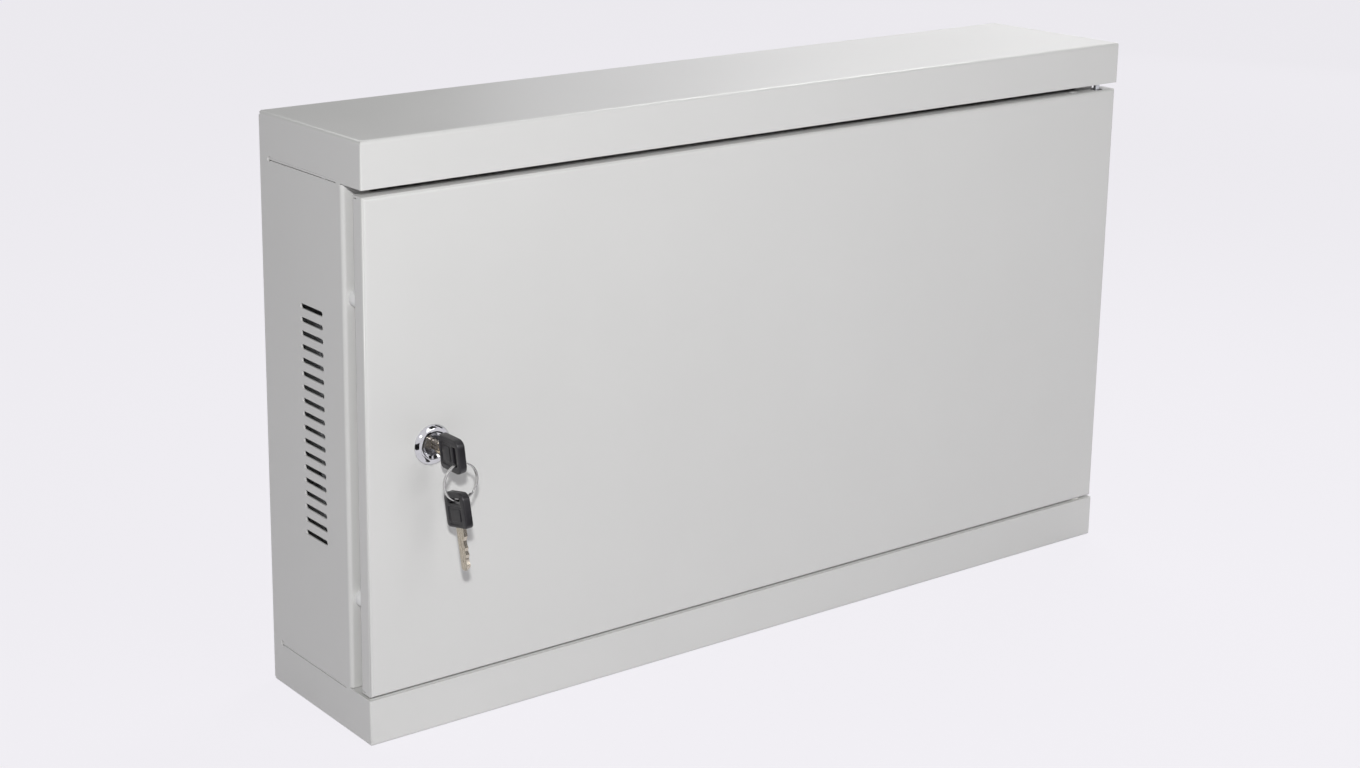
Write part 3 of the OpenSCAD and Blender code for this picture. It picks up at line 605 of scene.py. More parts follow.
def add_piece(name, mesh, material, body, replaced=(), place=Matrix(), smooth=35):
    """Makes an object of a bmesh at place, gives it its finish and rides it on its body."""
    data = bpy.data.meshes.new(name)
    bmesh.ops.remove_doubles(mesh, verts=mesh.verts, dist=0.0005 * MM)
    bmesh.ops.recalc_face_normals(mesh, faces=mesh.faces)
    mesh.transform(place)
    mesh.to_mesh(data)
    mesh.free()
    data.shade_smooth()
    data.set_sharp_from_angle(angle=math.radians(smooth))
    data.materials.append(material)
    piece = bpy.data.objects.new(name, data)
    bpy.context.scene.collection.objects.link(piece)
    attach(piece, body)
    if replaced:
        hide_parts(*replaced)


def pointing(place, direction):
    """Matrix that stands a piece's Z axis on place, pointing along direction."""
    turn = Vector(direction).to_track_quat("Z", "Y")
    return Matrix.Translation(place) @ turn.to_matrix().to_4x4()


def add_stud(mesh, length):
    """Threaded stud on its clinched head, standing on z = 0."""
    add_thread(mesh, STUD_RADIUS, length)
    head = [
        ring_points(CLINCH_CORE, 0),
        ring_points(CLINCH_RADIUS, 0),
        ring_points(CLINCH_RADIUS, CLINCH_HEIGHT - CLINCH_EDGE),
        ring_points(CLINCH_RADIUS - CLINCH_TAPER, CLINCH_HEIGHT),
        ring_points(CLINCH_CORE, CLINCH_HEIGHT),
    ]
    join_rings(mesh, head, closed=True)


def add_nut(mesh):
    """Flange nut that sits on z = 0."""
    flange = [
        ring_points(NUT_BORE, 0),
        ring_points(FLANGE_RADIUS, 0),
        ring_points(FLANGE_RADIUS, FLANGE_RIM),
        ring_points(FLANGE_RADIUS - FLANGE_EDGE, FLANGE_RIM + FLANGE_EDGE),
        ring_points(NUT_FLATS / 2, FLANGE_HEIGHT + NUT_LAP),
        ring_points(NUT_BORE, FLANGE_HEIGHT + NUT_LAP),
    ]
    join_rings(mesh, flange, closed=True)
    add_hexagon(mesh, NUT_FLATS, FLANGE_HEIGHT - NUT_LAP, NUT_HEIGHT, NUT_BORE, chamfer_low=False)


def absorb(mesh, one):
    """Moves the bmesh one into mesh."""
    part = bpy.data.meshes.new("part")
    one.to_mesh(part)
    one.free()
    mesh.from_mesh(part)
    bpy.data.meshes.remove(part)


def middle(node):
    """Middle of a node's box."""
    low_corner, high_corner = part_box(node)
    return (low_corner + high_corner) / 2


zinc = zinc_plated_steel()
stud_low, stud_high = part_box("bracket_studs")
bracket_stud_length = stud_high.y - stud_low.y
nut_low, nut_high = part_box("bracket_nuts")
fastener_sets = (("bracket_studs", add_stud, stud_high.y), ("bracket_nuts", add_nut, nut_high.y))
for name, build, seat_y in fastener_sets:
    mesh = bmesh.new()
    for x in (stud_low.x + CLINCH_RADIUS, stud_high.x - CLINCH_RADIUS):
        for z in (stud_low.z + CLINCH_RADIUS, stud_high.z - CLINCH_RADIUS):
            one = bmesh.new()
            if build is add_stud:
                add_stud(one, bracket_stud_length)
            else:
                add_nut(one)
            one.transform(pointing((x, seat_y, z), (0, -1, 0)))
            absorb(mesh, one)
    add_piece(name + "_made", mesh, zinc, "cabinet", (name,))

for owner, body, direction in (("body", "cabinet", -1), ("door", "door", 1)):
    for part, build in (("stud", add_stud), ("nut", add_nut)):
        name = f"{owner}_earth_{part}"
        low_corner, high_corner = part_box(name)
        centre = middle(name)
        seat_y = high_corner.y if direction < 0 else low_corner.y
        mesh = bmesh.new()
        if build is add_stud:
            add_stud(mesh, high_corner.y - low_corner.y)
        else:
            add_nut(mesh)
        place = pointing((centre.x, seat_y, centre.z), (0, direction, 0))
        add_piece(name + "_made", mesh, zinc, body, (name,), place)

# ---------------------------------------------------------------------------
# Cable grommets. Moulded black rubber rings snapped into the floor of the cabinet;
# their two soft lips hold the sheet and guard the cables from its edge.

GROMMET_LIP_T = 2 * MM
GROMMET_BORE = 16 * MM
GROMMET_NECK = 19 * MM
LIP_ROUND = 0.9 * MM
LIP_INNER_ROUND = 0.5 * MM


def black_rubber():
    """Moulded rubber: dull black with a grey bloom. The mould's grain is too fine to show at its real
    size, so it is drawn coarser."""
    material, tree = new_material("black_rubber")
    place = add_node(tree, "ShaderNodeTexCoord").outputs["Object"]
    bloom = add_node(
        tree,
        "ShaderNodeTexNoise",
        inputs={"Vector": place, "Scale": 1 / (9 * MM), "Detail": 4.0},
    )
    tone = add_node(
        tree,
        "ShaderNodeMix",
        {"data_type": "RGBA"},
        {0: bloom.outputs[0], 6: linear("1B1B1D"), 7: linear("2A2A2B")},
    )
    grain = add_node(
        tree,
        "ShaderNodeTexNoise",
        inputs={"Vector": place, "Scale": 1 / (0.4 * MM), "Detail": 2.0},
    )
    bump = add_node(
        tree,
        "ShaderNodeBump",
        inputs={"Strength": 0.3, "Distance": 0.02 * MM, "Height": grain.outputs[0]},
    )
    skin = add_node(
        tree,
        "ShaderNodeBsdfPrincipled",
        inputs={
            "Base Color": tone.outputs[2],
            "Roughness": 0.68,
            "IOR": 1.52,
            "Normal": bump.outputs[0],
        },
    )
    add_node(tree, "ShaderNodeOutputMaterial", inputs={"Surface": skin.outputs[0]})
    return material


def rounded(corners, steps=5):
    """Outline with its corners rounded. Each corner is (r, z, fillet radius)."""
    points = []
    for i, (r, z, fillet) in enumerate(corners):
        here = Vector((r, z))
        if fillet == 0:
            points.append(here)
            continue
        before = (Vector(corners[i - 1][:2]) - here).normalized()
        after = (Vector(corners[(i + 1) % len(corners)][:2]) - here).normalized()
        half = before.angle(after) / 2
        centre = here + (before + after).normalized() * fillet / math.sin(half)
        start = here + before * fillet / math.tan(half) - centre
        sweep = start.angle_signed(here + after * fillet / math.tan(half) - centre)
        for k in range(steps + 1):
            points.append(centre + Matrix.Rotation(-sweep * k / steps, 2) @ start)
    return points


def turned(mesh, corners, count=72, closed=True):
    """Turned piece round the Z axis from an outline of (r, z, fillet radius)."""
    rings = [ring_points(point.x, point.y, count) for point in rounded(corners)]
    join_rings(mesh, rings, closed)


rubber = black_rubber()
grommet_low, grommet_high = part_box("cable_grommets")
grommet_tall = grommet_high.z - grommet_low.z
grommet_radius = (grommet_high.y - grommet_low.y) / 2
mesh = bmesh.new()
for x in (grommet_low.x + grommet_radius, grommet_high.x - grommet_radius):
    one = bmesh.new()
    outline = (
        (GROMMET_BORE, 0, LIP_ROUND),
        (grommet_radius, 0, LIP_ROUND),
        (grommet_radius, GROMMET_LIP_T, LIP_INNER_ROUND),
        (GROMMET_NECK, GROMMET_LIP_T, 0),
        (GROMMET_NECK, grommet_tall - GROMMET_LIP_T, 0),
        (grommet_radius, grommet_tall - GROMMET_LIP_T, LIP_INNER_ROUND),
        (grommet_radius, grommet_tall, LIP_ROUND),
        (GROMMET_BORE, grommet_tall, LIP_ROUND),
    )
    turned(one, outline)
    one.transform(Matrix.Translation((x, (grommet_low.y + grommet_high.y) / 2, grommet_low.z)))
    absorb(mesh, one)
add_piece("cable_grommets_made", mesh, rubber, "cabinet", ("cable_grommets",))

# ---------------------------------------------------------------------------
# Door buffers. Two soft silicone buttons, pulled by their stems through the left
# front flange; the closed door rests against them. They are milky and let light in.

BUFFER_STEM = 2.0 * MM
BUFFER_BARB = 2.7 * MM
FLANGE_FRONT_Y = -36.5 * MM
FLANGE_BACK_Y = -35.3 * MM
BARB_LENGTH = 0.2 * MM
BUTTON_ROUND = 2.6 * MM
STEM_ROUND = 0.4 * MM


def clear_silicone():
    """Moulded silicone: milky and smooth, and it lets a little light through."""
    material, tree = new_material("clear_silicone")
    place = add_node(tree, "ShaderNodeTexCoord").outputs["Object"]
    milk = add_node(
        tree,
        "ShaderNodeTexNoise",
        inputs={"Vector": place, "Scale": 1 / (4 * MM), "Detail": 2.0},
    )
    tone = add_node(
        tree,
        "ShaderNodeMix",
        {"data_type": "RGBA"},
        {0: milk.outputs[0], 6: linear("F0F1F1"), 7: linear("F8F8F7")},
    )
    bump = add_node(
        tree,
        "ShaderNodeBump",
        inputs={"Strength": 0.1, "Distance": 0.02 * MM, "Height": milk.outputs[0]},
    )
    skin = add_node(
        tree,
        "ShaderNodeBsdfPrincipled",
        inputs={
            "Base Color": tone.outputs[2],
            "Roughness": 0.22,
            "IOR": 1.41,
            "Transmission Weight": 0.1,
            "Normal": bump.outputs[0],
        },
    )
    add_node(tree, "ShaderNodeOutputMaterial", inputs={"Surface": skin.outputs[0]})
    return material


silicone = clear_silicone()
buffer_low, buffer_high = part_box("door_buffers")
buffer_radius = (buffer_high.x - buffer_low.x) / 2
buffer_tall = FLANGE_FRONT_Y - buffer_low.y
stem_low = FLANGE_FRONT_Y - buffer_high.y
mesh = bmesh.new()
for z in (buffer_low.z + buffer_radius, buffer_high.z - buffer_radius):
    one = bmesh.new()
    outline = (
        (0, stem_low, 0),
        (BUFFER_STEM, stem_low, STEM_ROUND),
        (BUFFER_BARB, FLANGE_FRONT_Y - FLANGE_BACK_Y - BARB_LENGTH, BARB_LENGTH),
        (BUFFER_STEM, FLANGE_FRONT_Y - FLANGE_BACK_Y, 0),
        (BUFFER_STEM, 0, 0),
        (buffer_radius, 0, STEM_ROUND),
        (buffer_radius, buffer_tall, BUTTON_ROUND),
        (0, buffer_tall, 0),
    )
    turned(one, outline, 48, closed=False)
    one.transform(pointing(((buffer_low.x + buffer_high.x) / 2, FLANGE_FRONT_Y, z), (0, -1, 0)))
    absorb(mesh, one)
add_piece("door_buffers_made", mesh, silicone, "cabinet", ("door_buffers",))

# ---------------------------------------------------------------------------
# Hinge. Two zinc-plated pins riveted into the decks turn in black nylon bushes in
# the door's edge, and a white nylon washer carries the door on the lower pin.

PIN_ROUND = 0.35 * MM
BUSH_ROUND = 0.3 * MM
WASHER_ROUND = 0.25 * MM


def moulded_nylon(name, dark_hex, light_hex):
    """Moulded nylon: a half-matt skin with faint flow marks. The mould's grain is too fine to show at
    its real size, so it is drawn coarser."""
    material, tree = new_material(name)
    place = add_node(tree, "ShaderNodeTexCoord").outputs["Object"]
    flow = add_node(
        tree,
        "ShaderNodeTexNoise",
        inputs={"Vector": place, "Scale": 1 / (5 * MM), "Detail": 3.0},
    )
    tone = add_node(
        tree,
        "ShaderNodeMix",
        {"data_type": "RGBA"},
        {0: flow.outputs[0], 6: linear(dark_hex), 7: linear(light_hex)},
    )
    grain = add_node(
        tree,
        "ShaderNodeTexNoise",
        inputs={"Vector": place, "Scale": 1 / (0.3 * MM), "Detail": 1.0},
    )
    bump = add_node(
        tree,
        "ShaderNodeBump",
        inputs={"Strength": 0.25, "Distance": 0.01 * MM, "Height": grain.outputs[0]},
    )
    skin = add_node(
        tree,
        "ShaderNodeBsdfPrincipled",
        inputs={
            "Base Color": tone.outputs[2],
            "Roughness": 0.42,
            "IOR": 1.53,
            "Normal": bump.outputs[0],
        },
    )
    add_node(tree, "ShaderNodeOutputMaterial", inputs={"Surface": skin.outputs[0]})
    return material


black_nylon = moulded_nylon("black_nylon", "17171A", "202022")
white_nylon = moulded_nylon("white_nylon", "E4E3DE", "ECEBE6")
hinge_finishes = (
    (("upper_hinge_pin", "lower_hinge_pin"), zinc, PIN_ROUND),
    (("upper_hinge_bush", "lower_hinge_bush"), black_nylon, BUSH_ROUND),
    (("hinge_washer",), white_nylon, WASHER_ROUND),
)
for names, material, edge_round in hinge_finishes:
    for name in names:
        nodes[name].material_slots[0].material = material
        soften_edges(nodes[name], edge_round, plain_marks)

# ---------------------------------------------------------------------------
# Lock housing. Die-cast zinc, bright chrome plated: a domed bezel with a dished
# face, and behind the door an M19 thread with two milled flats.

BEZEL_FACE_RADIUS = 8.5 * MM
DISH_RADIUS = 7.7 * MM
DISH_DEPTH = 1.2 * MM
PLUG_BORE = 6.0 * MM
BARREL_RADIUS = 9.5 * MM
BARREL_FLAT = 8.0 * MM
BARREL_CHAMFER = 1.2 * MM
TUBE_RADIUS = BARREL_FLAT - 0.4 * MM
BEZEL_RIM = 0.5 * MM
RIM_ROUND = 0.15 * MM
DISH_LEAD = 0.2 * MM
DISH_ROUND = 0.3 * MM
DOME_STEPS = 8
DOME_ROUND = 0.55
DOME_STRAIGHT = 0.45


def plated_metal(name, dark_hex, light_hex, gloss_low, gloss_high, patch):
    """Polished and plated metal that mirrors the room. patch is the size of the clouds in its gloss."""
    material, tree = new_material(name)
    place = add_node(tree, "ShaderNodeTexCoord").outputs["Object"]
    cloud = add_node(tree, "ShaderNodeTexNoise", inputs={"Vector": place, "Scale": 1 / patch, "Detail": 4.0})
    tone = add_node(
        tree,
        "ShaderNodeMix",
        {"data_type": "RGBA"},
        {0: cloud.outputs[0], 6: linear(dark_hex), 7: linear(light_hex)},
    )
    gloss = add_node(
        tree,
        "ShaderNodeMapRange",
        inputs={"Value": cloud.outputs[0], "To Min": gloss_low, "To Max": gloss_high},
    )
    bump = add_node(
        tree,
        "ShaderNodeBump",
        inputs={"Strength": 0.15, "Distance": 0.01 * MM, "Height": cloud.outputs[0]},
    )
    plating = add_node(
        tree,
        "ShaderNodeBsdfPrincipled",
        inputs={
            "Base Color": tone.outputs[2],
            "Roughness": gloss.outputs[0],
            "Metallic": 1.0,
            "Normal": bump.outputs[0],
        },
    )
    add_node(tree, "ShaderNodeOutputMaterial", inputs={"Surface": plating.outputs[0]})
    return material


chrome = plated_metal("chromed_zinc", "C6C7CA", "D6D6D8", 0.05, 0.12, 3 * MM)
housing_low, housing_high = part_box("lock_housing")
lock_centre = middle("lock_housing")
bezel_radius = (housing_high.x - housing_low.x) / 2
door_front_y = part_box("door_panel")[0].y
bezel_tall = door_front_y - housing_low.y
barrel_length = housing_high.y - door_front_y
mesh = bmesh.new()
dome = []
for k in range(DOME_STEPS + 1):
    angle = math.pi / 2 * k / DOME_STEPS
    across = math.cos(angle) * DOME_ROUND + (1 - k / DOME_STEPS) * DOME_STRAIGHT
    up = math.sin(angle) * DOME_ROUND + k / DOME_STEPS * DOME_STRAIGHT
    dome.append(
        (
            BEZEL_FACE_RADIUS + (bezel_radius - BEZEL_FACE_RADIUS) * across,
            BEZEL_RIM + (bezel_tall - BEZEL_RIM) * up,
            0,
        )
    )
outline = (
    (PLUG_BORE, -barrel_length, 0),
    (TUBE_RADIUS, -barrel_length, 0),
    (TUBE_RADIUS, 0, 0),
    (bezel_radius, 0, RIM_ROUND),
    *dome,
    (DISH_RADIUS, bezel_tall, RIM_ROUND),
    (PLUG_BORE + DISH_LEAD, bezel_tall - DISH_DEPTH, DISH_ROUND),
    (PLUG_BORE, bezel_tall - DISH_DEPTH - DISH_LEAD, 0),
)
turned(mesh, outline, 96)
lock_place = pointing((lock_centre.x, door_front_y, lock_centre.z), (0, -1, 0))
add_piece("lock_bezel", mesh, chrome, "door", ("lock_housing",), lock_place, smooth=28)

mesh = bmesh.new()
add_thread(mesh, BARREL_RADIUS, barrel_length, chamfer=BARREL_CHAMFER, flats=BARREL_FLAT, steps=72)
barrel_place = pointing((lock_centre.x, door_front_y, lock_centre.z), (0, 1, 0))
add_piece("lock_barrel", mesh, zinc, "door", ("lock_housing",), barrel_place)

# ---------------------------------------------------------------------------
# Lock nut, cam, washer and bolt. Zinc-plated steel: the nut clamps the housing to
# the door, and the bolt holds the cam on the plug's square tail.

LOCK_NUT_FLATS = 24 * MM
LOCK_NUT_BORE = 9.58 * MM
BOLT_FLATS = 7 * MM
BOLT_HEAD = 2.8 * MM
BOLT_SOCKET = 1.6 * MM
BOLT_RADIUS = 2 * MM
BOLT_END_ROUND = 0.3 * MM
CAM_ROUND = 0.25 * MM
KEY_TURN = 6.5

nut_low, nut_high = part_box("lock_nut")
mesh = bmesh.new()
add_hexagon(mesh, LOCK_NUT_FLATS, 0, nut_high.y - nut_low.y, LOCK_NUT_BORE)
place = pointing((lock_centre.x, nut_low.y, lock_centre.z), (0, 1, 0))
add_piece("lock_nut_made", mesh, zinc, "door", ("lock_nut",), place)

bolt_low, bolt_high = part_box("cam_bolt")
mesh = bmesh.new()
add_hexagon(mesh, BOLT_FLATS, 0, BOLT_HEAD, BOLT_SOCKET, chamfer_low=False)
bolt_end = bolt_low.y - bolt_high.y + BOLT_HEAD
turned(
    mesh,
    (
        (0, bolt_end, 0),
        (BOLT_RADIUS, bolt_end, BOLT_END_ROUND),
        (BOLT_RADIUS, BOLT_HEAD - 1.4 * MM, 0),
        (0, BOLT_HEAD - 1.6 * MM, 0),
    ),
    36,
    closed=False,
)
key_turned = Matrix.Rotation(math.radians(-KEY_TURN), 4, "Y")
place = Matrix.Translation((lock_centre.x, bolt_high.y - BOLT_HEAD, lock_centre.z)) @ key_turned
place = place @ pointing((0, 0, 0), (0, 1, 0))
add_piece("cam_bolt_made", mesh, zinc, "plug", ("cam_bolt",), place)
for name in ("lock_cam", "cam_washer"):
    nodes[name].material_slots[0].material = zinc
    soften_edges(nodes[name], CAM_ROUND, plain_marks)

# ---------------------------------------------------------------------------
# Lock plug. Die-cast and chrome plated like the housing, but its face is duller and carries the keyway.
# Its chrome is painted much darker than the housing's: painted shade for its place deep in the dished bezel.

PLUG_ROUND = 0.2 * MM
# Colour painted darker than the housing's chrome: painted shade on the recessed plug.
plug_chrome = plated_metal("plug_chrome", "77777B", "9C9CA0", 0.14, 0.3, 1.5 * MM)
nodes["lock_plug"].material_slots[0].material = plug_chrome
soften_edges(nodes["lock_plug"], PLUG_ROUND, plain_marks)

# ---------------------------------------------------------------------------
# Keys. Each has a nickel silver blade, rolled with two grooves a side and milled to
# its bitting, in a moulded black plastic head with a raised grip pad and a ring slot.

BLADE_LENGTH = 25 * MM
TANG_LENGTH = 7 * MM
BLADE_HEIGHT = 7.6 * MM
BLADE_THICK = 2.2 * MM
BLADE_CHAMFER = 0.15 * MM
CUT_DEPTH = 1.7 * MM
TIP_CHAMFER = 1.4 * MM
TIP_LOW = 0.6 * MM
GROOVE_DEPTH = 0.5 * MM
GROOVE_START = 2 * MM
GROOVE_RUN_OUT = 2 * MM
GROOVE_LEAST = 0.02
TIP_TAPER = 0.75 * MM
TIP_WIDTH = 0.72
LINE_WIDTH = 0.5 * MM
LINE_LENGTH = 6 * MM
# Bitting: tenths of the blade's length and tenths of the full cut
BITTING = ((2, 0), (3, 10), (4, 10), (4.6, 5), (5.4, 10), (6.2, 3), (7, 10), (7.8, 10), (8.6, 5), (9.2, 10))
# Grooves: distance of each lower and upper edge above the blade's middle
LEFT_GROOVES = ((-1.7, -0.7), (0.7, 1.8))
RIGHT_GROOVES = ((-0.6, 0.3), (1.5, 2.4))
HEAD_LENGTH = 20.5 * MM
HEAD_WIDTH = 20.5 * MM
HEAD_THICK = 5 * MM
HEAD_RISE = 0.4 * MM
HEAD_EDGE = 0.8 * MM
HEAD_END_CORNER = 4.5 * MM
HEAD_NECK_CORNER = 2.6 * MM
EYE_LENGTH = 11.6 * MM
EYE_WIDTH = 3.1 * MM
EYE_EDGE = 3.4 * MM
EYE_CORNER = 0.9 * MM
PANEL_LENGTH = 10.4 * MM
PANEL_WIDTH = 13.4 * MM
PANEL_DEPTH = 0.55 * MM
PANEL_MARGIN = 1.9 * MM
PANEL_CORNER = 1.2 * MM
WEB_LAP = 2 * MM
WEB_CORNER = 1 * MM
WEB_EDGE = 0.1 * MM
PAD_LENGTH = 7.2 * MM
PAD_WIDTH = 9.4 * MM
PAD_RISE = 0.4 * MM
PAD_CORNER = 0.6 * MM
PAD_EDGE = 0.25 * MM
SPARE_TILT = 12
SPARE_LEAN = 1
SPARE_SHIFT = 4 * MM
RING_SEAT = 1.28 * MM


def nickel_silver():
    """Rolled nickel silver: warm white metal with lines that run along the hanging blade. They are too
    fine to show at their real size, so they are drawn coarser."""
    material, tree = new_material("nickel_silver")
    place = add_node(tree, "ShaderNodeTexCoord").outputs["Object"]
    stretch = (1 / LINE_WIDTH, 1 / LINE_WIDTH, 1 / LINE_LENGTH)
    drawn = add_node(tree, "ShaderNodeMapping", inputs={"Vector": place, "Scale": stretch})
    lines = add_node(
        tree,
        "ShaderNodeTexNoise",
        inputs={"Vector": drawn.outputs[0], "Scale": 1.0, "Detail": 3.0},
    )
    tone = add_node(
        tree,
        "ShaderNodeMix",
        {"data_type": "RGBA"},
        {0: lines.outputs[0], 6: linear("B4AB9B"), 7: linear("D8D0C2")},
    )
    gloss = add_node(
        tree,
        "ShaderNodeMapRange",
        inputs={"Value": lines.outputs[0], "To Min": 0.18, "To Max": 0.36},
    )
    bump = add_node(
        tree,
        "ShaderNodeBump",
        inputs={"Strength": 0.3, "Distance": 0.01 * MM, "Height": lines.outputs[0]},
    )
    blade_skin = add_node(
        tree,
        "ShaderNodeBsdfPrincipled",
        inputs={
            "Base Color": tone.outputs[2],
            "Roughness": gloss.outputs[0],
            "Metallic": 1.0,
            "Normal": bump.outputs[0],
        },
    )
    add_node(tree, "ShaderNodeOutputMaterial", inputs={"Surface": blade_skin.outputs[0]})
    return material


def key_plastic():
    """Moulded plastic: half-gloss black with a fine sparkle. The spark-eroded grain is too fine to show
    at its real size, so it is drawn coarser."""
    material, tree = new_material("key_plastic")
    place = add_node(tree, "ShaderNodeTexCoord").outputs["Object"]
    cloud = add_node(
        tree,
        "ShaderNodeTexNoise",
        inputs={"Vector": place, "Scale": 1 / (6 * MM), "Detail": 3.0},
    )
    tone = add_node(
        tree,
        "ShaderNodeMix",
        {"data_type": "RGBA"},
        {0: cloud.outputs[0], 6: linear("131215"), 7: linear("1E1C20")},
    )
    spark = add_node(
        tree,
        "ShaderNodeTexNoise",
        inputs={"Vector": place, "Scale": 1 / (0.35 * MM), "Detail": 2.0},
    )
    bump = add_node(
        tree,
        "ShaderNodeBump",
        inputs={"Strength": 0.5, "Distance": 0.02 * MM, "Height": spark.outputs[0]},
    )
    skin = add_node(
        tree,
        "ShaderNodeBsdfPrincipled",
        inputs={
            "Base Color": tone.outputs[2],
            "Roughness": 0.34,
            "IOR": 1.54,
            "Normal": bump.outputs[0],
        },
    )
    add_node(tree, "ShaderNodeOutputMaterial", inputs={"Surface": skin.outputs[0]})
    return material


def stepped(value, points):
    """Straight-line value between the points of a table of (place, height)."""
    for (x0, y0), (x1, y1) in zip(points, points[1:]):
        if value <= x1:
            return y0 + (y1 - y0) * max(value - x0, 0) / (x1 - x0)
    return points[-1][1]


def blade_section(depth):
    """Cross-section of the rolled blade: x and z points, with grooves of the given depth."""
    w, h, c = BLADE_THICK / 2, BLADE_HEIGHT / 2, BLADE_CHAMFER
    left = [(-w, -h + c)]
    for low_edge, high_edge in LEFT_GROOVES:
        left += [
            (-w, low_edge * MM),
            (-w + depth, low_edge * MM + depth / 2),
            (-w + depth, high_edge * MM - depth / 2),
            (-w, high_edge * MM),
        ]
    left += [(-w, h - c), (-w + c, h)]
    right = [(w - c, h), (w, h - c)]
    for low_edge, high_edge in reversed(RIGHT_GROOVES):
        right += [
            (w, high_edge * MM),
            (w - depth, high_edge * MM - depth / 2),
            (w - depth, low_edge * MM + depth / 2),
            (w, low_edge * MM),
        ]
    right += [(w, -h + c), (w - c, -h), (-w + c, -h)]
    return left + right


def key_blade_mesh():
    """Blade from its tang to its tip along +Y, with its cuts on the lower edge."""
    tenth = BLADE_LENGTH / 10
    half = BLADE_HEIGHT / 2
    low_edge = [(-TANG_LENGTH, -half)]
    low_edge += [(place * tenth, -half + cut / 10 * CUT_DEPTH) for place, cut in BITTING]
    low_edge.append((BLADE_LENGTH, TIP_LOW))
    top_edge = [(-TANG_LENGTH, half), (BLADE_LENGTH - TIP_CHAMFER, half)]
    top_edge.append((BLADE_LENGTH, half - TIP_CHAMFER))
    stations = sorted(
        {y for y, _ in low_edge + top_edge}
        | {GROOVE_START + k * MM / 2 for k in range(5)}
        | {BLADE_LENGTH - k * MM / 4 for k in range(4)}
    )
    mesh = bmesh.new()
    rows = []
    for y in stations:
        floor_z, roof_z = stepped(y, low_edge), stepped(y, top_edge)
        depth = GROOVE_DEPTH * min(max((y - GROOVE_START) / GROOVE_RUN_OUT, GROOVE_LEAST), 1)
        taper = min(1, TIP_WIDTH + (1 - TIP_WIDTH) * (BLADE_LENGTH - y) / TIP_TAPER)
        section = [(x * taper, y, min(max(z, floor_z), roof_z)) for x, z in blade_section(depth)]
        rows.append([mesh.verts.new(point) for point in section])
    for row, following in zip(rows, rows[1:]):
        for i in range(len(row)):
            j = (i + 1) % len(row)
            mesh.faces.new((row[i], following[i], following[j], row[j]))
    mesh.faces.new(rows[0])
    mesh.faces.new(rows[-1])
    return mesh


def soft_rectangle(length, width, end_corner, neck_corner, steps=8):
    """Closed outline centred on the origin; end_corner rounds the corners at -X, neck_corner those at +X."""
    points = []
    corners = ((1, 1, neck_corner), (-1, 1, end_corner), (-1, -1, end_corner), (1, -1, neck_corner))
    for quarter, (sx, sy, radius) in enumerate(corners):
        for k in range(steps + 1):
            angle = math.pi / 2 * (quarter + k / steps)
            x = sx * (length / 2 - radius) + radius * math.cos(angle)
            y = sy * (width / 2 - radius) + radius * math.sin(angle)
            points.append((x, y))
    return points


def add_plate(mesh, outlines, half_thick, edge):
    """Plate with rounded edges from a closed outline and its holes; its thickness lies along Z."""
    curve = bpy.data.curves.new("outline", "CURVE")
    curve.dimensions = "2D"
    curve.fill_mode = "BOTH"
    curve.extrude = half_thick - edge
    curve.bevel_depth = edge
    curve.bevel_resolution = 3
    curve.offset = -edge
    for points in outlines:
        spline = curve.splines.new("POLY")
        spline.points.add(len(points) - 1)
        for point, (x, y) in zip(spline.points, points):
            point.co = (x, y, 0, 1)
        spline.use_cyclic_u = True
    holder = bpy.data.objects.new("outline", curve)
    bpy.context.scene.collection.objects.link(holder)
    shape = bpy.data.meshes.new_from_object(holder.evaluated_get(bpy.context.evaluated_depsgraph_get()))
    mesh.from_mesh(shape)
    bpy.data.objects.remove(holder)
    bpy.data.curves.remove(curve)
    bpy.data.meshes.remove(shape)


def shifted(points, dx):
    """Outline moved along X."""
    return [(x + dx, y) for x, y in points]


def key_head_mesh():
    """Head whose shoulder is at y = 0 and whose ring end points to -Y; its thickness lies along X."""
    outer = soft_rectangle(HEAD_LENGTH, HEAD_WIDTH, HEAD_END_CORNER, HEAD_NECK_CORNER)
    eye_x = -HEAD_LENGTH / 2 + EYE_EDGE + EYE_WIDTH / 2
    eye = shifted(soft_rectangle(EYE_WIDTH, EYE_LENGTH, EYE_CORNER, EYE_CORNER, 4), eye_x)
    panel_x = HEAD_LENGTH / 2 - PANEL_MARGIN - PANEL_LENGTH / 2
    panel = shifted(soft_rectangle(PANEL_LENGTH, PANEL_WIDTH, PANEL_CORNER, PANEL_CORNER, 4), panel_x)
    web_length, web_width = PANEL_LENGTH + WEB_LAP, PANEL_WIDTH + WEB_LAP
    web = shifted(soft_rectangle(web_length, web_width, WEB_CORNER, WEB_CORNER, 2), panel_x)
    pad = shifted(soft_rectangle(PAD_LENGTH, PAD_WIDTH, PAD_CORNER, PAD_CORNER, 3), panel_x)
    mesh = bmesh.new()
    add_plate(mesh, [outer, eye[::-1], panel[::-1]], HEAD_THICK / 2, HEAD_EDGE)
    add_plate(mesh, [web], HEAD_THICK / 2 - PANEL_DEPTH, WEB_EDGE)
    add_plate(mesh, [pad], HEAD_THICK / 2 - PANEL_DEPTH + PAD_RISE, PAD_EDGE)
    stand_up = Matrix(((0, 0, 1, 0), (1, 0, 0, -HEAD_LENGTH / 2), (0, 1, 0, HEAD_RISE), (0, 0, 0, 1)))
    mesh.transform(stand_up)
    return mesh


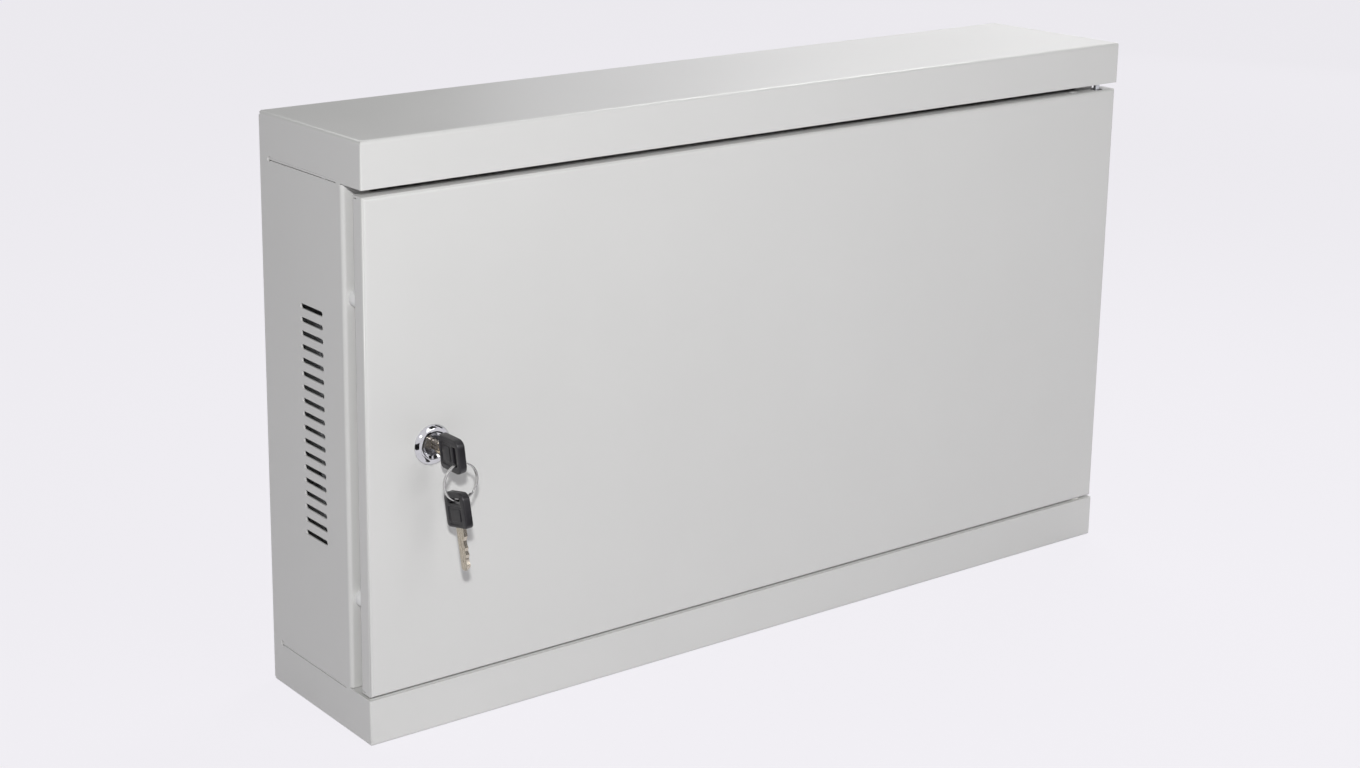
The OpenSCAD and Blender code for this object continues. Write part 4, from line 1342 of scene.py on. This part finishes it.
ring_low, ring_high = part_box("key_ring")
ring_centre = middle("key_ring")
ring_outer = (ring_high.z - ring_low.z) / 2
RING_WIRE = 1.1 * MM
eye_top = HEAD_LENGTH - EYE_EDGE
shoulder_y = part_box("key_head")[1].y
first_key = Matrix.Translation((lock_centre.x, shoulder_y, lock_centre.z)) @ key_turned
spare_key = (
    Matrix.Translation((ring_centre.x, ring_centre.y, ring_low.z + RING_WIRE / 2))
    @ Matrix.Rotation(math.radians(-SPARE_LEAN), 4, "Y")
    @ Matrix.Rotation(math.radians(-SPARE_TILT), 4, "X")
    @ Matrix.Translation((0, SPARE_SHIFT, RING_SEAT - eye_top))
    @ Matrix.Rotation(math.radians(-90), 4, "X")
    @ Matrix.Translation((0, 0, -HEAD_RISE))
)
blade_metal = nickel_silver()
head_plastic = key_plastic()
for prefix, body, place in (("", "key", first_key), ("spare_", "spare_key", spare_key)):
    blade = prefix + "key_blade"
    mesh = key_blade_mesh()
    add_piece(blade + "_made", mesh, blade_metal, body, (blade,), place, smooth=25)
    grip = prefix + "key_head"
    mesh = key_head_mesh()
    add_piece(grip + "_made", mesh, head_plastic, body, (grip,), place)

# ---------------------------------------------------------------------------
# Split ring. Nearly two turns of polished steel wire, coiled side by side; it steps
# from one turn to the other between its cut ends.

RING_GAP = 24
RING_TURN = 50
WIRE_STEPS = 150
WIRE_SIDES = 16
WIRE_SQUARENESS = 0.112


def split_ring_mesh():
    """Coiled wire, round the Y axis, whose section is a slightly squared circle."""
    mesh = bmesh.new()
    path_radius = ring_outer - RING_WIRE / 2
    turn_gap = (ring_high.y - ring_low.y) - RING_WIRE
    first, last = math.radians(RING_GAP), 4 * math.pi
    rows = []
    for i in range(WIRE_STEPS + 1):
        angle = first + (last - first) * i / WIRE_STEPS
        crossing = min(max((angle - 2 * math.pi) / math.radians(RING_GAP), 0), 1)
        layer = (crossing * crossing * (3 - 2 * crossing) - 0.5) * turn_gap
        row = []
        for k in range(WIRE_SIDES):
            around = 2 * math.pi * k / WIRE_SIDES
            fullness = 1 + WIRE_SQUARENESS * math.sin(2 * around) ** 4
            out = RING_WIRE / 2 * fullness * math.cos(around)
            side = RING_WIRE / 2 * fullness * math.sin(around)
            reach = path_radius + out
            row.append(mesh.verts.new((reach * math.cos(angle), layer + side, reach * math.sin(angle))))
        rows.append(row)
    for row, following in zip(rows, rows[1:]):
        for k in range(WIRE_SIDES):
            j = (k + 1) % WIRE_SIDES
            mesh.faces.new((row[k], row[j], following[j], following[k]))
    mesh.faces.new(rows[0])
    mesh.faces.new(rows[-1])
    return mesh


ring_steel = plated_metal("ring_steel", "BEBEBC", "D9D9D6", 0.1, 0.22, 2 * MM)
place = Matrix.Translation(ring_centre) @ Matrix.Rotation(math.radians(RING_TURN), 4, "Y")
add_piece("key_ring_made", split_ring_mesh(), ring_steel, "ring", ("key_ring",), place)

bpy.context.view_layer.update()
